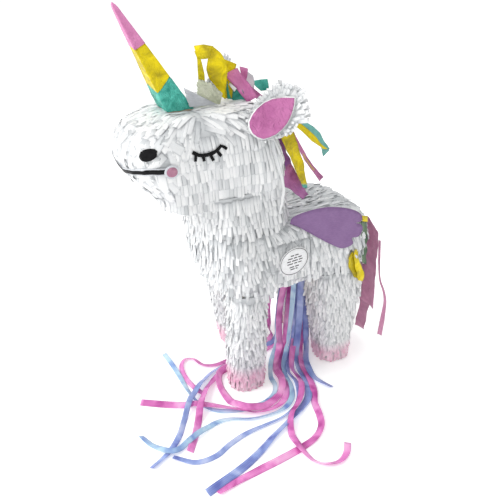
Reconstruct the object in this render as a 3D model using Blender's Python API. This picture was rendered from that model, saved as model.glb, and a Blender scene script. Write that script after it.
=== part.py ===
"""Unicorn pull-ribbon pinata: a hollow card casing in tissue fringe, with a trap door, a fill flap and folding wings.

Metres, +Z up. The nose points to -Y, the animal's left side is +X, and it stands on Z = 0.
"""

import math

import bmesh
import bpy
from mathutils import Matrix, Vector

MM = 0.001

# Sheets and gaps
CARD = 1.6 * MM
FRINGE = 3.0 * MM
GAP = 0.3 * MM
SKIN_GAP = 0.6 * MM
PAPER = 0.8 * MM
STICKER = 0.5 * MM
CORNER_STEPS = 4

# Each ring of a casing: height, front, rear, half width at the front and at the rear, corner radii at both, in mm
TORSO_RINGS = (
    (126, -45, 117, 52, 50, 22, 24),
    (136, -50, 122, 57, 56, 26, 28),
    (158, -58, 126, 58, 58, 28, 30),
    (177, -61, 123, 57.5, 55, 28, 32),
    (187, -63, 115, 55, 49, 28, 34),
    (193, -64, 104, 51, 41, 28, 34),
)
NECK_RINGS = (
    (193.3, -63, 22, 49.5, 45, 27, 20),
    (213, -67, 19, 49, 44, 28, 20),
    (228, -71, 16, 48, 43, 28, 20),
    (245, -80, 13, 47, 43, 28, 20),
)
HEAD_RINGS = (
    (245.3, -112, 13, 40, 47, 30, 20),
    (255, -125, 14, 42, 50, 30, 24),
    (268, -135, 13, 43, 52, 30, 26),
    (283, -141, 8, 44, 53, 30, 28),
    (298, -140, 2, 43, 52, 30, 30),
    (310, -130, -4, 39, 48, 28, 30),
    (319.5, -104, -12, 33, 40, 26, 26),
)
FRONT_LEG_RINGS = (
    (0, -44, -15, 15, 15, 11, 11),
    (40, -45, -13, 16, 16, 11, 11),
    (125.4, -44, -12, 17, 17, 11, 11),
)
HIND_LEG_RINGS = (
    (0, 74, 103, 15, 15, 11, 11),
    (40, 68, 107, 16, 16, 11, 11),
    (88, 60, 114, 17, 17, 11, 11),
    (125.4, 57, 115, 17, 17, 11, 11),
)
# Middle of each leg's foot and how far its top is from there, sideways and backwards
LEGS = (
    ("front_left_leg", FRONT_LEG_RINGS, (38, 0), (0, 0)),
    ("front_right_leg", FRONT_LEG_RINGS, (-45, 32), (9, -26)),
    ("hind_left_leg", HIND_LEG_RINGS, (39, 0), (-1, 0)),
    ("hind_right_leg", HIND_LEG_RINGS, (-39, 0), (1, 0)),
)
FRINGE_HEM = 0.6 * MM

# Trap door in the belly, hinged at its front edge
BELLY_Z = 126 * MM
DOOR_HALF_WIDTH = 26 * MM
DOOR_FRONT = 7 * MM
DOOR_REAR = 38 * MM
DOOR_GAP = 0.4 * MM
TAPE = 0.3 * MM
TAPE_WIDTH = 7.5 * MM

# Fill flap in the left flank, hinged at its top edge, with the round label on it
FLAP_FRONT = -8 * MM
FLAP_REAR = 38 * MM
FLAP_BOTTOM = 139 * MM
FLAP_TOP = 181 * MM
FLAP_SWING_GAP = 1.6 * MM
LABEL_CENTRE = (15 * MM, 160 * MM)
LABEL_RADIUS = 17 * MM
FLANK_X = 61.6 * MM

# Horn: a square pyramid leaning forwards
HORN_BASE = Vector((0, -84, 323.3)) * MM
HORN_TIP = Vector((0, -139, 425)) * MM
HORN_HALF = 12.5 * MM
HORN_BANDS = (("horn_base_wrap", 0.02, 0.22), ("horn_middle_wrap", 0.225, 0.61), ("horn_tip_wrap", 0.615, 1.0))

# Ears: a leaf-shaped card in its own plane, given as distances along and across it, in mm
EAR_BASE = Vector((50, -32, 311)) * MM
EAR_ALONG = Vector((22, 38, 29)).normalized()
EAR_FACE = Vector((0.769, -0.604, 0.209))
EAR_CARD = 2.4 * MM
EAR_SLOT_DEPTH = 3.4 * MM
EAR_SLOT_FLOOR = -2.9 * MM
EAR_OUTLINE = ((2, 6), (24, 15), (46, 19), (58, 6), (57, -7), (50, -20), (31, -26), (16, -23), (4, -18), (-2, -6))
EAR_SLOT = ((-6, 9), (18, 9), (18, -26), (-6, -26))
LINING_OUTLINE = ((3, 3), (17, 10), (33, 10), (51, 0), (44, -9), (34, -16), (19, -19), (7, -17), (1, -7))

# Eyelashes: a lid line around a point on each cheek, given as its radius, drop and thickness, in mm
LASH_CENTRE = (-77, 291)
LASH_RADIUS = 16
LASH_DROP = 12
LASH_LID = (205, 351, 12)
LASH_COUNT = 5
LASH_REACH = Vector((-1.5, -6.5))
LASH_FAN = 1.4
CHEEK_SLOPE = 0.1

# Nostrils: an oval on each front corner of the muzzle, with the ways it faces and lies
NOSTRIL_CENTRE = (-130, 298)
NOSTRIL_HALVES = (8.5, 5.5)
NOSTRIL_OUT = Vector((0.80, -0.58, 0.10)).normalized()
NOSTRIL_ALONG = Vector((0.55, 0.78, 0.28))

# Mouth: a band that rises from the middle of the muzzle to a crest and ends at a round dot on each cheek.
# The distances are measured round the muzzle from its middle, in mm
MOUTH_Z = 269.2
MOUTH_RISE = 12
MOUTH_CREST = 49
MOUTH_END = 62.8
MOUTH_BAND = 3.5
MOUTH_STEPS = 10
MOUTH_LIFT = 0.8 * MM
MOUTH_DOT = 5 * MM

# Wings: a card outline from the glued root backwards, as distance along the wing and height, in mm
WING_ROOT = Vector((53.8, 14, 0)) * MM
WING_SPLAY = math.radians(12)
WING_OUTLINE = (
    (1, 200), (4, 207), (20, 212), (40, 214), (60, 211), (76, 205), (83, 198), (82, 192), (76, 191),
    (83, 188), (85, 182), (81, 174), (73, 173), (75, 168), (73, 164), (62, 162), (47, 170), (25, 185), (9, 196),
)

# Ribbons. Each has its hole in the belly, where it comes down, its sway on the way, and its route over the floor, in mm
RIBBON_RADIUS = 1.6 * MM
RIBBON_CLEARANCE = 0.6 * MM
RIBBON_HUMP = 26 * MM
RIBBON_STEP = 3 * MM
RIBBON_KEEP = 3
RIBBON_TOP = 125.4
# Heights on the way down, and at each the share of the way to the landing and of the sway to the side
RIBBON_DROPS = ((110, 0.02, 0.3), (80, 0.14, 0.9), (50, 0.36, 1.0), (24, 0.68, 0.5), (8, 0.92, 0.1))
RIBBON_SWAY = Vector((0.48, 0.877))
PINK = (0.93, 0.45, 0.75)
PALE_BLUE = (0.55, 0.70, 0.90)
BLUE = (0.30, 0.45, 0.85)
RIBBONS = (
    ("ribbon_01", PALE_BLUE, (-4.5, 49), (3, 32), -4, (
        (21, 15), (47, -1), (64, -5), (77, -15), (84, -30), (84, -48), (80, -66), (70, -84), (50, -95),
        (24, -97), (-2, -95), (-28, -94), (-54, -94))),
    ("ribbon_02", PINK, (-4.5, 58), (5, 42), -2, (
        (22, 28), (48, 12), (69, 7), (88, -6), (96, -22), (96, -40), (88, -58), (76, -72), (64, -86),
        (50, -104), (36, -128), (18, -152))),
    ("ribbon_03", PINK, (-13.5, 49), (-14, 34), -12, (
        (-13, 17), (-9, -7), (-4, -31), (-4, -50), (-12, -62), (-26, -66), (-32, -75), (-22, -85),
        (-2, -90), (20, -89), (38, -84))),
    ("ribbon_04", PINK, (-13.5, 67), (-6, 46), 4, (
        (-4, 30), (0, 7), (5, -20), (11, -44), (20, -62), (36, -80), (56, -95), (76, -108), (96, -121),
        (114, -135))),
    ("ribbon_05", BLUE, (-13.5, 58), (-11, 40), -6, (
        (-8, 24), (-4, -3), (1, -27), (4, -48), (10, -64), (24, -82), (44, -102), (68, -121),
        (88, -136), (104, -154), (116, -178))),
    ("pull_ribbon", PALE_BLUE, (13.5, 49), (21, 35), 0, (
        (35, 24), (52, 16), (71, 12), (90, 2), (102, -14), (104, -34), (100, -56), (90, -76), (88, -94),
        (96, -116), (104, -136), (108, -150), (100, -160), (86, -166), (68, -171))),
    ("ribbon_07", PINK, (4.5, 49), (11, 32), -8, (
        (26, 18), (43, 9), (60, 6), (75, -3), (86, -20), (90, -38), (85, -53), (70, -62), (50, -63), (30, -60),
        (16, -52), (10, -38), (9, -20), (9, -2))),
    ("ribbon_08", BLUE, (4.5, 58), (16, 45), 2, (
        (30, 34), (49, 22), (70, 20), (92, 10), (106, -4), (114, -24), (116, -48), (118, -72),
        (124, -94), (132, -114), (130, -136), (112, -153))),
    ("ribbon_09", BLUE, (13.5, 58), (28, 45), 1, (
        (39, 41), (55, 34), (77, 30), (99, 18), (112, 0), (124, -24), (136, -50), (150, -76),
        (162, -106), (172, -143))),
    ("ribbon_10", BLUE, (13.5, 67), (25, 63), -1, (
        (41, 52), (58, 46), (72, 43), (85, 46), (98, 51))),
    ("ribbon_11", PINK, (4.5, 67), (16, 58), 9, (
        (34, 49), (51, 41), (72, 37), (94, 29), (112, 18), (130, 12), (146, 4), (158, -12), (164, -34),
        (168, -60), (170, -86), (172, -110), (176, -134))),
    ("ribbon_12", PINK, (-4.5, 67), (11, 55), 8, (
        (26, 42), (46, 29), (68, 26), (88, 16), (104, 2), (118, -16), (136, -28), (156, -34),
        (176, -34), (192, -26), (198, -10), (192, 4), (180, 14))),
)

# Hanging loop on the back, and the stick inside that it is tied round
STRING_RADIUS = 1.0 * MM
LOOP_Z = 197.8
LOOP_ROUTE = (
    (-7, 40, LOOP_Z), (-12, 46, LOOP_Z), (-18, 56, LOOP_Z), (-19, 68, LOOP_Z), (-13, 79, LOOP_Z), (0, 84, LOOP_Z),
    (13, 79, LOOP_Z), (19, 68, LOOP_Z), (18, 56, LOOP_Z), (12, 46, LOOP_Z), (7, 40, LOOP_Z))
STICK_CENTRE = Vector((0, 36, 187.8)) * MM
STICK_RADIUS = 3 * MM
STICK_LENGTH = 70 * MM

# Paper strips: width, direction of that width, and the line they follow, in mm
SLANT = (0.48, 0.88, 0)
STRIP_STEP = 9 * MM
STRIPS = (
    ("forelock_pink", PINK, 13, (0.3, 0.95, 0), (
        (2, -22, 325.5), (1, -17, 338), (0, -12, 351), (0, -6, 356), (0, 1, 350), (0, 4, 342))),
    ("forelock_teal", (0.20, 0.62, 0.52), 12, (0.9, -0.1, 0), (
        (18, -22, 325), (17, -12, 332), (16, 2, 340), (14, 14, 343), (12, 22, 338))),
    ("mane_lilac", (0.62, 0.38, 0.62), 13, SLANT, (
        (3, 17, 296), (6, 25, 278), (10, 28, 264), (20, 31, 243), (27, 36, 229), (34, 42, 218))),
    ("mane_yellow", (0.85, 0.78, 0.10), 10, SLANT, ((20, 22, 300), (22, 36, 275), (24, 46, 248), (25, 52, 225))),
    ("mane_pink", (0.80, 0.50, 0.70), 7, SLANT, ((11, 20, 298), (13, 40, 279), (14, 60, 253), (15, 76, 233))),
    ("mane_teal_curl", (0.30, 0.65, 0.62), 9, (1, 0.1, 0), (
        (26, 18, 308), (24, 36, 302), (22, 58, 290), (21, 72, 273), (20, 76, 258))),
    ("tail_pink_wide", (0.85, 0.50, 0.72), 17, SLANT, (
        (26, 135.5, 177), (36, 137, 160), (44, 137, 130), (48, 137, 95), (50, 137, 58))),
    ("tail_pink_long", (0.72, 0.40, 0.62), 14, (0.75, 0.66, 0), (
        (4, 135, 176), (14, 139, 158), (20, 139.5, 122), (24, 138.5, 75), (27, 136, 20))),
    ("tail_teal", (0.30, 0.45, 0.42), 8, SLANT, (
        (26, 134.5, 168), (27, 134.5, 150), (29, 134.5, 128), (30, 134, 104))),
    ("tail_yellow", (0.80, 0.72, 0.10), 9, SLANT, (
        (36, 131, 176), (42, 132, 160), (44, 128, 140), (42, 126, 122), (43, 125, 106), (44, 125, 90))),
    ("tail_curl", (0.85, 0.50, 0.72), 5, SLANT, (
        (60, 133, 164), (66, 136, 134), (68, 138, 104), (72, 139, 84), (70, 139, 60), (67, 139, 27))),
)
FORELOCK_FRONT = (
    (0, -58, 325), (0, -58, 349), (0, -58, 368), (0, -54, 375), (0, -48, 372), (1, -44, 358), (2, -42, 345))
FORELOCK_WIDTH = 11 * MM
FORELOCK_STEP = 8 * MM
FORELOCK_BACK = ((1, -40, 325), (0, -39, 342), (0, -36, 358), (0, -30, 364), (-2, -23, 359), (-3, -19, 353))

WHITE = (0.93, 0.93, 0.92)
KRAFT = (0.62, 0.52, 0.38)
BLACK = (0.01, 0.01, 0.01)


def clear_scene():
    for obj in list(bpy.data.objects):
        bpy.data.objects.remove(obj, do_unlink=True)


def paint(obj, colour, roughness=0.7, metallic=0.0):
    """Give an object its own material."""
    material = bpy.data.materials.new(obj.name)
    material.use_nodes = True
    shader = material.node_tree.nodes["Principled BSDF"]
    shader.inputs["Base Color"].default_value = (*colour, 1)
    shader.inputs["Roughness"].default_value = roughness
    shader.inputs["Metallic"].default_value = metallic
    obj.data.materials.append(material)
    return obj


def object_from(name, bm, origin=Vector(), closed=True):
    """Turn a bmesh in world coordinates into an object whose origin is at the given point."""
    if closed:
        bmesh.ops.recalc_face_normals(bm, faces=bm.faces)
    bmesh.ops.translate(bm, verts=bm.verts, vec=-origin)
    mesh = bpy.data.meshes.new(name)
    bm.to_mesh(mesh)
    bm.free()
    obj = bpy.data.objects.new(name, mesh)
    obj.location = origin
    bpy.context.scene.collection.objects.link(obj)
    return obj


def loft(rings, cap_first=True, cap_last=True):
    """A bmesh through closed rings of points, all with the same count."""
    bm = bmesh.new()
    loops = [[bm.verts.new(point) for point in ring] for ring in rings]
    for lower, upper in zip(loops, loops[1:]):
        for i, vert in enumerate(lower):
            j = (i + 1) % len(lower)
            bm.faces.new((vert, lower[j], upper[j], upper[i]))
    if cap_first:
        bm.faces.new(reversed(loops[0]))
    if cap_last:
        bm.faces.new(loops[-1])
    return bm


def plan_ring(ring, grow=0.0, centre_x=0.0):
    """Points of a rounded trapezoid at one height, anticlockwise from above, grown outwards by a distance."""
    z, front, rear, half_front, half_rear, radius_front, radius_rear = (value * MM for value in ring)
    corners = (
        (half_front - radius_front, front + radius_front, radius_front, -90),
        (half_rear - radius_rear, rear - radius_rear, radius_rear, 0),
        (radius_rear - half_rear, rear - radius_rear, radius_rear, 90),
        (radius_front - half_front, front + radius_front, radius_front, 180),
    )
    points = []
    for x, y, radius, first in corners:
        for step in range(CORNER_STEPS + 1):
            angle = math.radians(first + 90 * step / CORNER_STEPS)
            reach = radius + grow
            points.append(Vector((centre_x + x + reach * math.cos(angle), y + reach * math.sin(angle), z)))
    return points


def shifted(rings, backwards, lean):
    """Rings moved back, with the top one moved by a further lean and those between in proportion."""
    low, high = rings[0][0], rings[-1][0]
    moved = []
    for z, front, rear, *rest in rings:
        step = backwards + lean * (z - low) / (high - low)
        moved.append((z, front + step, rear + step, *rest))
    return moved


def casing(name, rings, grow=0.0, centres=(0.0, 0.0), cap_first=True, cap_last=True):
    """A lofted casing whose capped ends move out with its sides, and whose open ends stay at their height."""
    low, high = rings[0][0], rings[-1][0]
    loops = []
    for ring in rings:
        share = (ring[0] - low) / (high - low)
        loops.append(plan_ring(ring, grow, MM * (centres[0] + share * (centres[1] - centres[0]))))
    if cap_first:
        for point in loops[0]:
            point.z -= grow
    if cap_last:
        for point in loops[-1]:
            point.z += grow
    return object_from(name, loft(loops, cap_first, cap_last), closed=cap_first and cap_last)


def sleeve(name, rings, inner, outer, centres=(0.0, 0.0)):
    """A casing open at both ends, as one loft up its outside and down its inside."""
    bm = bmesh.new()
    low, high = rings[0][0], rings[-1][0]
    loops = []
    for grow, order in ((outer, rings), (inner, reversed(rings))):
        for ring in order:
            share = (ring[0] - low) / (high - low)
            points = plan_ring(ring, grow, MM * (centres[0] + share * (centres[1] - centres[0])))
            loops.append([bm.verts.new(point) for point in points])
    for lower, upper in zip(loops, loops[1:] + loops[:1]):
        for i, vert in enumerate(lower):
            j = (i + 1) % len(lower)
            bm.faces.new((vert, lower[j], upper[j], upper[i]))
    return object_from(name, bm)


def thicken(obj, thickness, outwards):
    wall = obj.modifiers.new("wall", "SOLIDIFY")
    wall.thickness = thickness
    wall.offset = 1 if outwards else -1
    wall.use_even_offset = True
    return obj


def cutter(obj):
    obj.hide_render = True
    obj.display_type = "WIRE"
    return obj


def box(name, low, high, origin=Vector()):
    bm = bmesh.new()
    bmesh.ops.create_cube(bm, size=1)
    size = Vector(high) - Vector(low)
    middle = (Vector(high) + Vector(low)) / 2
    bmesh.ops.scale(bm, verts=bm.verts, vec=size)
    bmesh.ops.translate(bm, verts=bm.verts, vec=middle)
    return object_from(name, bm, origin)


def combine(obj, other, operation):
    modifier = obj.modifiers.new(operation.lower(), "BOOLEAN")
    modifier.object = other
    modifier.operation = operation
    modifier.solver = "EXACT"
    return obj


def bake(obj):
    """Replace an object's mesh with its evaluated one, so that a mirrored or moved copy can share it."""
    bpy.context.view_layer.update()
    evaluated = obj.evaluated_get(bpy.context.evaluated_depsgraph_get())
    mesh = bpy.data.meshes.new_from_object(evaluated)
    obj.modifiers.clear()
    obj.data = mesh
    return obj


def plate(name, outline, thickness, to_world, origin=Vector()):
    """A flat plate from an outline in its own plane: to_world turns (across, along, out) into a point."""
    rings = [[to_world(u, v, side * thickness) for u, v in outline] for side in (0, 1)]
    return object_from(name, loft(rings), origin)


def mirror_x(point, side):
    return Vector((side * point.x, point.y, point.z))


def smooth_line(points, step):
    """A Catmull-Rom curve through the points, read at about equal distances."""
    points = [Vector(point) for point in points]
    padded = [2 * points[0] - points[1]] + points + [2 * points[-1] - points[-2]]
    line = [points[0]]
    for before, start, end, after in zip(padded, padded[1:], padded[2:], padded[3:]):
        count = max(1, round((end - start).length / step))
        for i in range(1, count + 1):
            t = i / count
            line.append(
                0.5 * (2 * start + (end - before) * t + (2 * before - 5 * start + 4 * end - after) * t**2
                       + (3 * start - before - 3 * end + after) * t**3)
            )
    return line


def strip(name, line, width, thickness, across):
    """A paper strip: a thin rectangle swept along a line, its width kept near one direction."""
    rings = []
    for i, point in enumerate(line):
        tangent = (line[min(i + 1, len(line) - 1)] - line[max(i - 1, 0)]).normalized()
        side = (across - across.dot(tangent) * tangent).normalized() * width / 2
        out = side.cross(tangent).normalized() * thickness / 2
        rings.append([point - side - out, point + side - out, point + side + out, point - side + out])
    return object_from(name, loft(rings))


def tube(name, line, radius):
    """A round cord along a line, with closed ends."""
    curve = bpy.data.curves.new(name, "CURVE")
    curve.dimensions = "3D"
    curve.bevel_depth = radius
    curve.bevel_resolution = 2
    curve.use_fill_caps = True
    spline = curve.splines.new("POLY")
    spline.points.add(len(line) - 1)
    for target, point in zip(spline.points, line):
        target.co = (*point, 1)
    obj = bpy.data.objects.new(name, curve)
    bpy.context.scene.collection.objects.link(obj)
    return obj


def build_torso():
    """The hollow barrel, its fringe, and the two openings cut in it."""
    door_hole = cutter(box(
        "door_hole",
        (-DOOR_HALF_WIDTH - DOOR_GAP, DOOR_FRONT, BELLY_Z - CARD),
        (DOOR_HALF_WIDTH + DOOR_GAP, DOOR_REAR + DOOR_GAP, BELLY_Z + 3 * CARD)))
    fill_hole = cutter(box(
        "fill_hole",
        (FLANK_X - 4 * FRINGE, FLAP_FRONT, FLAP_BOTTOM),
        (FLANK_X + 4 * FRINGE, FLAP_REAR, FLAP_TOP)))
    neck_hole = cutter(casing("neck_hole", NECK_RINGS, 2 * GAP))
    shell = thicken(casing("torso_shell", TORSO_RINGS), CARD, outwards=False)
    combine(shell, door_hole, "DIFFERENCE")
    combine(shell, fill_hole, "DIFFERENCE")
    paint(shell, KRAFT, 0.85)
    belly = cutter(box("belly_cut", Vector((-90, -90, 108)) * MM, Vector((90, 160, 126.2)) * MM))
    fringe = thicken(casing("torso_fringe", TORSO_RINGS, SKIN_GAP), FRINGE, outwards=True)
    combine(fringe, belly, "DIFFERENCE")
    combine(fringe, neck_hole, "DIFFERENCE")
    combine(fringe, fill_hole, "DIFFERENCE")
    paint(fringe, WHITE, 0.6)


def build_neck_and_head():
    paint(sleeve("neck_shell", NECK_RINGS, -CARD, 0), KRAFT, 0.85)
    cover = (SKIN_GAP + GAP + FRINGE) / MM
    fringe_low = TORSO_RINGS[-1][0] + cover
    fringe_high = HEAD_RINGS[0][0] - cover
    middle = NECK_RINGS[1:-1]
    fringe_rings = ((fringe_low, *NECK_RINGS[0][1:]), *middle, (fringe_high, *NECK_RINGS[-1][1:]))
    paint(sleeve("neck_fringe", fringe_rings, 2 * SKIN_GAP, 2 * SKIN_GAP + FRINGE), WHITE, 0.6)
    passage_rings = [(233, *NECK_RINGS[-1][1:]), (251, *NECK_RINGS[-1][1:])]
    throat = cutter(casing("throat", passage_rings, -2 * CARD))
    collar = cutter(casing("collar", passage_rings, 2 * GAP))
    head = thicken(casing("head_shell", HEAD_RINGS), CARD, outwards=False)
    paint(combine(head, throat, "DIFFERENCE"), KRAFT, 0.85)
    fringe = thicken(casing("head_fringe", HEAD_RINGS, SKIN_GAP), FRINGE, outwards=True)
    combine(fringe, collar, "DIFFERENCE")
    for side in (1, -1):
        slot = cutter(plate(f"ear_slot_{side + 1}", EAR_SLOT, EAR_SLOT_DEPTH, ear_plane(side, EAR_SLOT_FLOOR)))
        combine(fringe, slot, "DIFFERENCE")
    paint(fringe, WHITE, 0.6)


def build_legs():
    """A card tube with a closed sole for each leg, standing under the belly, and its fringe."""
    for name, rings, foot, lean in LEGS:
        leg_rings = shifted(rings, foot[1], lean[1])
        centres = (foot[0], foot[0] + lean[0])
        leg = casing(name, leg_rings, centres=centres, cap_last=False)
        paint(thicken(leg, CARD, outwards=False), KRAFT, 0.85)
        top = leg_rings[-1][0] - GAP / MM
        sleeve_rings = ((FRINGE_HEM / MM, *leg_rings[0][1:]), *leg_rings[1:-1], (top, *leg_rings[-1][1:]))
        paint(sleeve(f"{name}_fringe", sleeve_rings, GAP, GAP + FRINGE, centres), WHITE, 0.6)


def build_trap_door():
    hinge = Vector((0, DOOR_FRONT + DOOR_GAP / 2, BELLY_Z))
    door = box(
        "trap_door",
        (-DOOR_HALF_WIDTH, DOOR_FRONT + DOOR_GAP, BELLY_Z),
        (DOOR_HALF_WIDTH, DOOR_REAR, BELLY_Z + CARD),
        hinge)
    paint(door, KRAFT, 0.85)
    tape = box(
        "door_hinge_tape",
        (-DOOR_HALF_WIDTH, DOOR_FRONT - TAPE_WIDTH, BELLY_Z - GAP - TAPE),
        (DOOR_HALF_WIDTH, DOOR_FRONT - GAP, BELLY_Z - GAP))
    paint(tape, (0.85, 0.83, 0.78), 0.4)


def build_fill_flap():
    """A panel cut out of the flank with its fringe, smaller than the hole all round, and its label."""
    hinge = Vector((FLANK_X - GAP, 0, FLAP_TOP + GAP))
    flap = casing("fill_flap", TORSO_RINGS, SKIN_GAP + FRINGE)
    thicken(flap, SKIN_GAP + FRINGE + CARD, outwards=False)
    panel = cutter(box(
        "flap_panel",
        (FLANK_X - 4 * FRINGE, FLAP_FRONT + DOOR_GAP, FLAP_BOTTOM + FLAP_SWING_GAP),
        (FLANK_X + 4 * FRINGE, FLAP_REAR - DOOR_GAP, FLAP_TOP - DOOR_GAP)))
    bake(combine(flap, panel, "INTERSECT"))
    flap.data.transform(Matrix.Translation(-hinge))
    flap.location = hinge
    paint(flap, WHITE, 0.6)
    bm = bmesh.new()
    bmesh.ops.create_cone(
        bm, cap_ends=True, segments=32, radius1=LABEL_RADIUS, radius2=LABEL_RADIUS, depth=STICKER,
        matrix=Matrix.Translation((FLANK_X + GAP, *LABEL_CENTRE)) @ Matrix.Rotation(math.pi / 2, 4, "Y"))
    paint(object_from("fill_label", bm, hinge), (0.87, 0.86, 0.82), 0.5)


def horn_ring(share, grow):
    """The horn's square section at a share of its length, grown outwards."""
    centre = HORN_BASE.lerp(HORN_TIP, share)
    half = HORN_HALF * (1 - share) + grow
    return [centre + Vector((half * x, half * y, 0)) for x, y in ((-1, -1), (1, -1), (1, 1), (-1, 1))]


def build_horn():
    tip_half = 0.04
    core = loft([horn_ring(0, 0), horn_ring(1 - tip_half, 0)])
    paint(object_from("horn_core", core), KRAFT, 0.85)
    colours = ((0.20, 0.72, 0.62), (0.95, 0.88, 0.05), (0.93, 0.55, 0.78))
    for (name, start, end), colour in zip(HORN_BANDS, colours):
        closed_tip = end == 1.0
        bands = loft([horn_ring(start, 2 * GAP), horn_ring(end, 2 * GAP)], False, closed_tip)
        wrap = object_from(name, bands, closed=False)
        paint(thicken(wrap, PAPER, outwards=True), colour, 0.45)
    fan = [(-63, 327)] + [
        (-63 + 24 * math.cos(math.radians(angle)), 327 + 24 * math.sin(math.radians(angle)))
        for angle in range(0, 91, 15)]
    fan_plate = plate(
        "horn_tissue_fan", fan, PAPER, lambda y, z, out: Vector((9.5 * MM + out, y * MM, z * MM)))
    paint(fan_plate, (0.90, 0.93, 0.82), 0.6)


def build_forelock():
    """Two curled yellow strips joined at their foot."""
    front, back = (
        strip(
            name, smooth_line([Vector(point) * MM for point in route], FORELOCK_STEP), FORELOCK_WIDTH, PAPER,
            Vector(across))
        for name, route, across in (
            ("forelock_yellow", FORELOCK_FRONT, (0.8, 0.6, 0)),
            ("forelock_yellow_back", FORELOCK_BACK, (0.6, 0.8, 0))))
    foot = cutter(box("forelock_foot", Vector((-5, -63, 323.8)) * MM, Vector((7, -34, 325.6)) * MM))
    combine(front, foot, "UNION")
    combine(front, cutter(back), "UNION")
    paint(front, (0.93, 0.88, 0.08), 0.5)


def build_strips():
    for name, colour, width, across, route in STRIPS:
        line = smooth_line([Vector(point) * MM for point in route], STRIP_STEP)
        paint(strip(name, line, width * MM, PAPER, Vector(across)), colour, 0.5)


def ear_plane(side, lift=0.0):
    """Turns distances along, across and out of an ear's plane into a point."""
    face = (EAR_FACE - EAR_FACE.dot(EAR_ALONG) * EAR_ALONG).normalized()
    across = face.cross(EAR_ALONG)
    return lambda u, v, out: mirror_x(EAR_BASE + EAR_ALONG * u * MM + across * v * MM + face * (out + lift), side)


def build_ears():
    """A fringed card ear on each side of the head, with a pink lining on its face."""
    for hand, side in (("left", 1), ("right", -1)):
        paint(plate(f"{hand}_ear", EAR_OUTLINE, -EAR_CARD, ear_plane(side)), WHITE, 0.6)
        lining = plate(f"{hand}_ear_lining", LINING_OUTLINE, STICKER, ear_plane(side, GAP))
        paint(lining, (0.82, 0.42, 0.66), 0.6)


def head_section(z):
    """The head's ring at one height, in mm."""
    for lower, upper in zip(HEAD_RINGS, HEAD_RINGS[1:]):
        if lower[0] <= z <= upper[0]:
            share = (z - lower[0]) / (upper[0] - lower[0])
            return [a + (b - a) * share for a, b in zip(lower, upper)]


def head_side(y, z):
    """Distance of the head's fringe from the middle plane at one length and height, on its flat side."""
    _, front, rear, half_front, half_rear, radius_front, radius_rear = head_section(z)
    start, end = front + radius_front, rear - radius_rear
    if y < start:
        inset = min(1.0, (start - y) / radius_front)
        half = half_front - radius_front * (1 - math.sqrt(1 - inset**2))
    else:
        half = half_front + (half_rear - half_front) * (y - start) / (end - start)
    return half * MM + SKIN_GAP + FRINGE


def muzzle_point(distance, z, out):
    """A point just off the fringe, at a distance round the muzzle from the middle of its front, in mm."""
    _, front, _, half_front, _, radius, _ = head_section(z)
    reach = radius + (SKIN_GAP + FRINGE) / MM
    straight = half_front - radius
    if distance <= straight:
        return Vector((distance * MM, front * MM - SKIN_GAP - FRINGE - out, z * MM))
    angle = (distance - straight) / reach - math.pi / 2
    reach = reach * MM + out
    return Vector((
        straight * MM + reach * math.cos(angle), (front + radius) * MM + reach * math.sin(angle), z * MM))


def build_lashes(hand, side):
    """A lid line and its lashes on one cheek."""
    lid = [math.radians(angle) for angle in range(*LASH_LID)]
    arc = [(LASH_RADIUS * math.cos(a), 2 + LASH_DROP * (1 + math.sin(a))) for a in lid]
    inner = [(u * 0.86, v + 1.7) for u, v in arc]
    low, high = (head_side(LASH_CENTRE[0] + u, NOSTRIL_CENTRE[1]) for u in (-LASH_RADIUS, LASH_RADIUS))
    slope = (high - low) / (2 * LASH_RADIUS * MM)

    def to_world(u, v, out):
        z = LASH_CENTRE[1] + v
        x = low + (slope * (u + LASH_RADIUS) - CHEEK_SLOPE * (z - NOSTRIL_CENTRE[1])) * MM + 2 * GAP + out
        return mirror_x(Vector((x, (LASH_CENTRE[0] + u) * MM, z * MM)), side)

    lashes = plate(f"{hand}_eyelashes", arc + inner[::-1], STICKER, to_world)
    for index in range(LASH_COUNT):
        angle = math.radians(222 + 29 * index)
        root = Vector(((LASH_RADIUS - 0.5) * math.cos(angle), 3 + LASH_DROP * (1 + math.sin(angle))))
        tip = root + LASH_REACH + Vector((LASH_FAN * index, 0))
        wide = Vector((1.1, 0.4))
        corners = (root - wide, tip - wide, tip + wide, root + wide)
        lash = cutter(plate(f"{hand}_lash_{index}", corners, STICKER, to_world))
        combine(lashes, lash, "UNION")
    paint(lashes, BLACK, 0.5)


def build_nostril(hand, side):
    y, z = NOSTRIL_CENTRE
    centre = Vector((head_side(y, z) + 4 * GAP, y * MM, z * MM))
    along = (NOSTRIL_ALONG - NOSTRIL_ALONG.dot(NOSTRIL_OUT) * NOSTRIL_OUT).normalized()
    up = NOSTRIL_OUT.cross(along)
    long, short = NOSTRIL_HALVES
    oval = [(long * math.cos(math.radians(a)), short * math.sin(math.radians(a))) for a in range(0, 360, 20)]
    nostril = plate(
        f"{hand}_nostril", oval, STICKER,
        lambda u, v, out: mirror_x(centre + along * u * MM + up * v * MM + NOSTRIL_OUT * out, side))
    paint(nostril, BLACK, 0.5)


def mouth_ring(distance):
    """The band's section at a distance round the muzzle."""
    z = MOUTH_Z + MOUTH_RISE * math.sin(math.pi / 2 * distance / MOUTH_CREST)
    low, high = z - MOUTH_BAND / 2, z + MOUTH_BAND / 2
    inner, outer = MOUTH_LIFT, MOUTH_LIFT + STICKER
    return [muzzle_point(distance, *place) for place in ((low, inner), (low, outer), (high, outer), (high, inner))]


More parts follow.
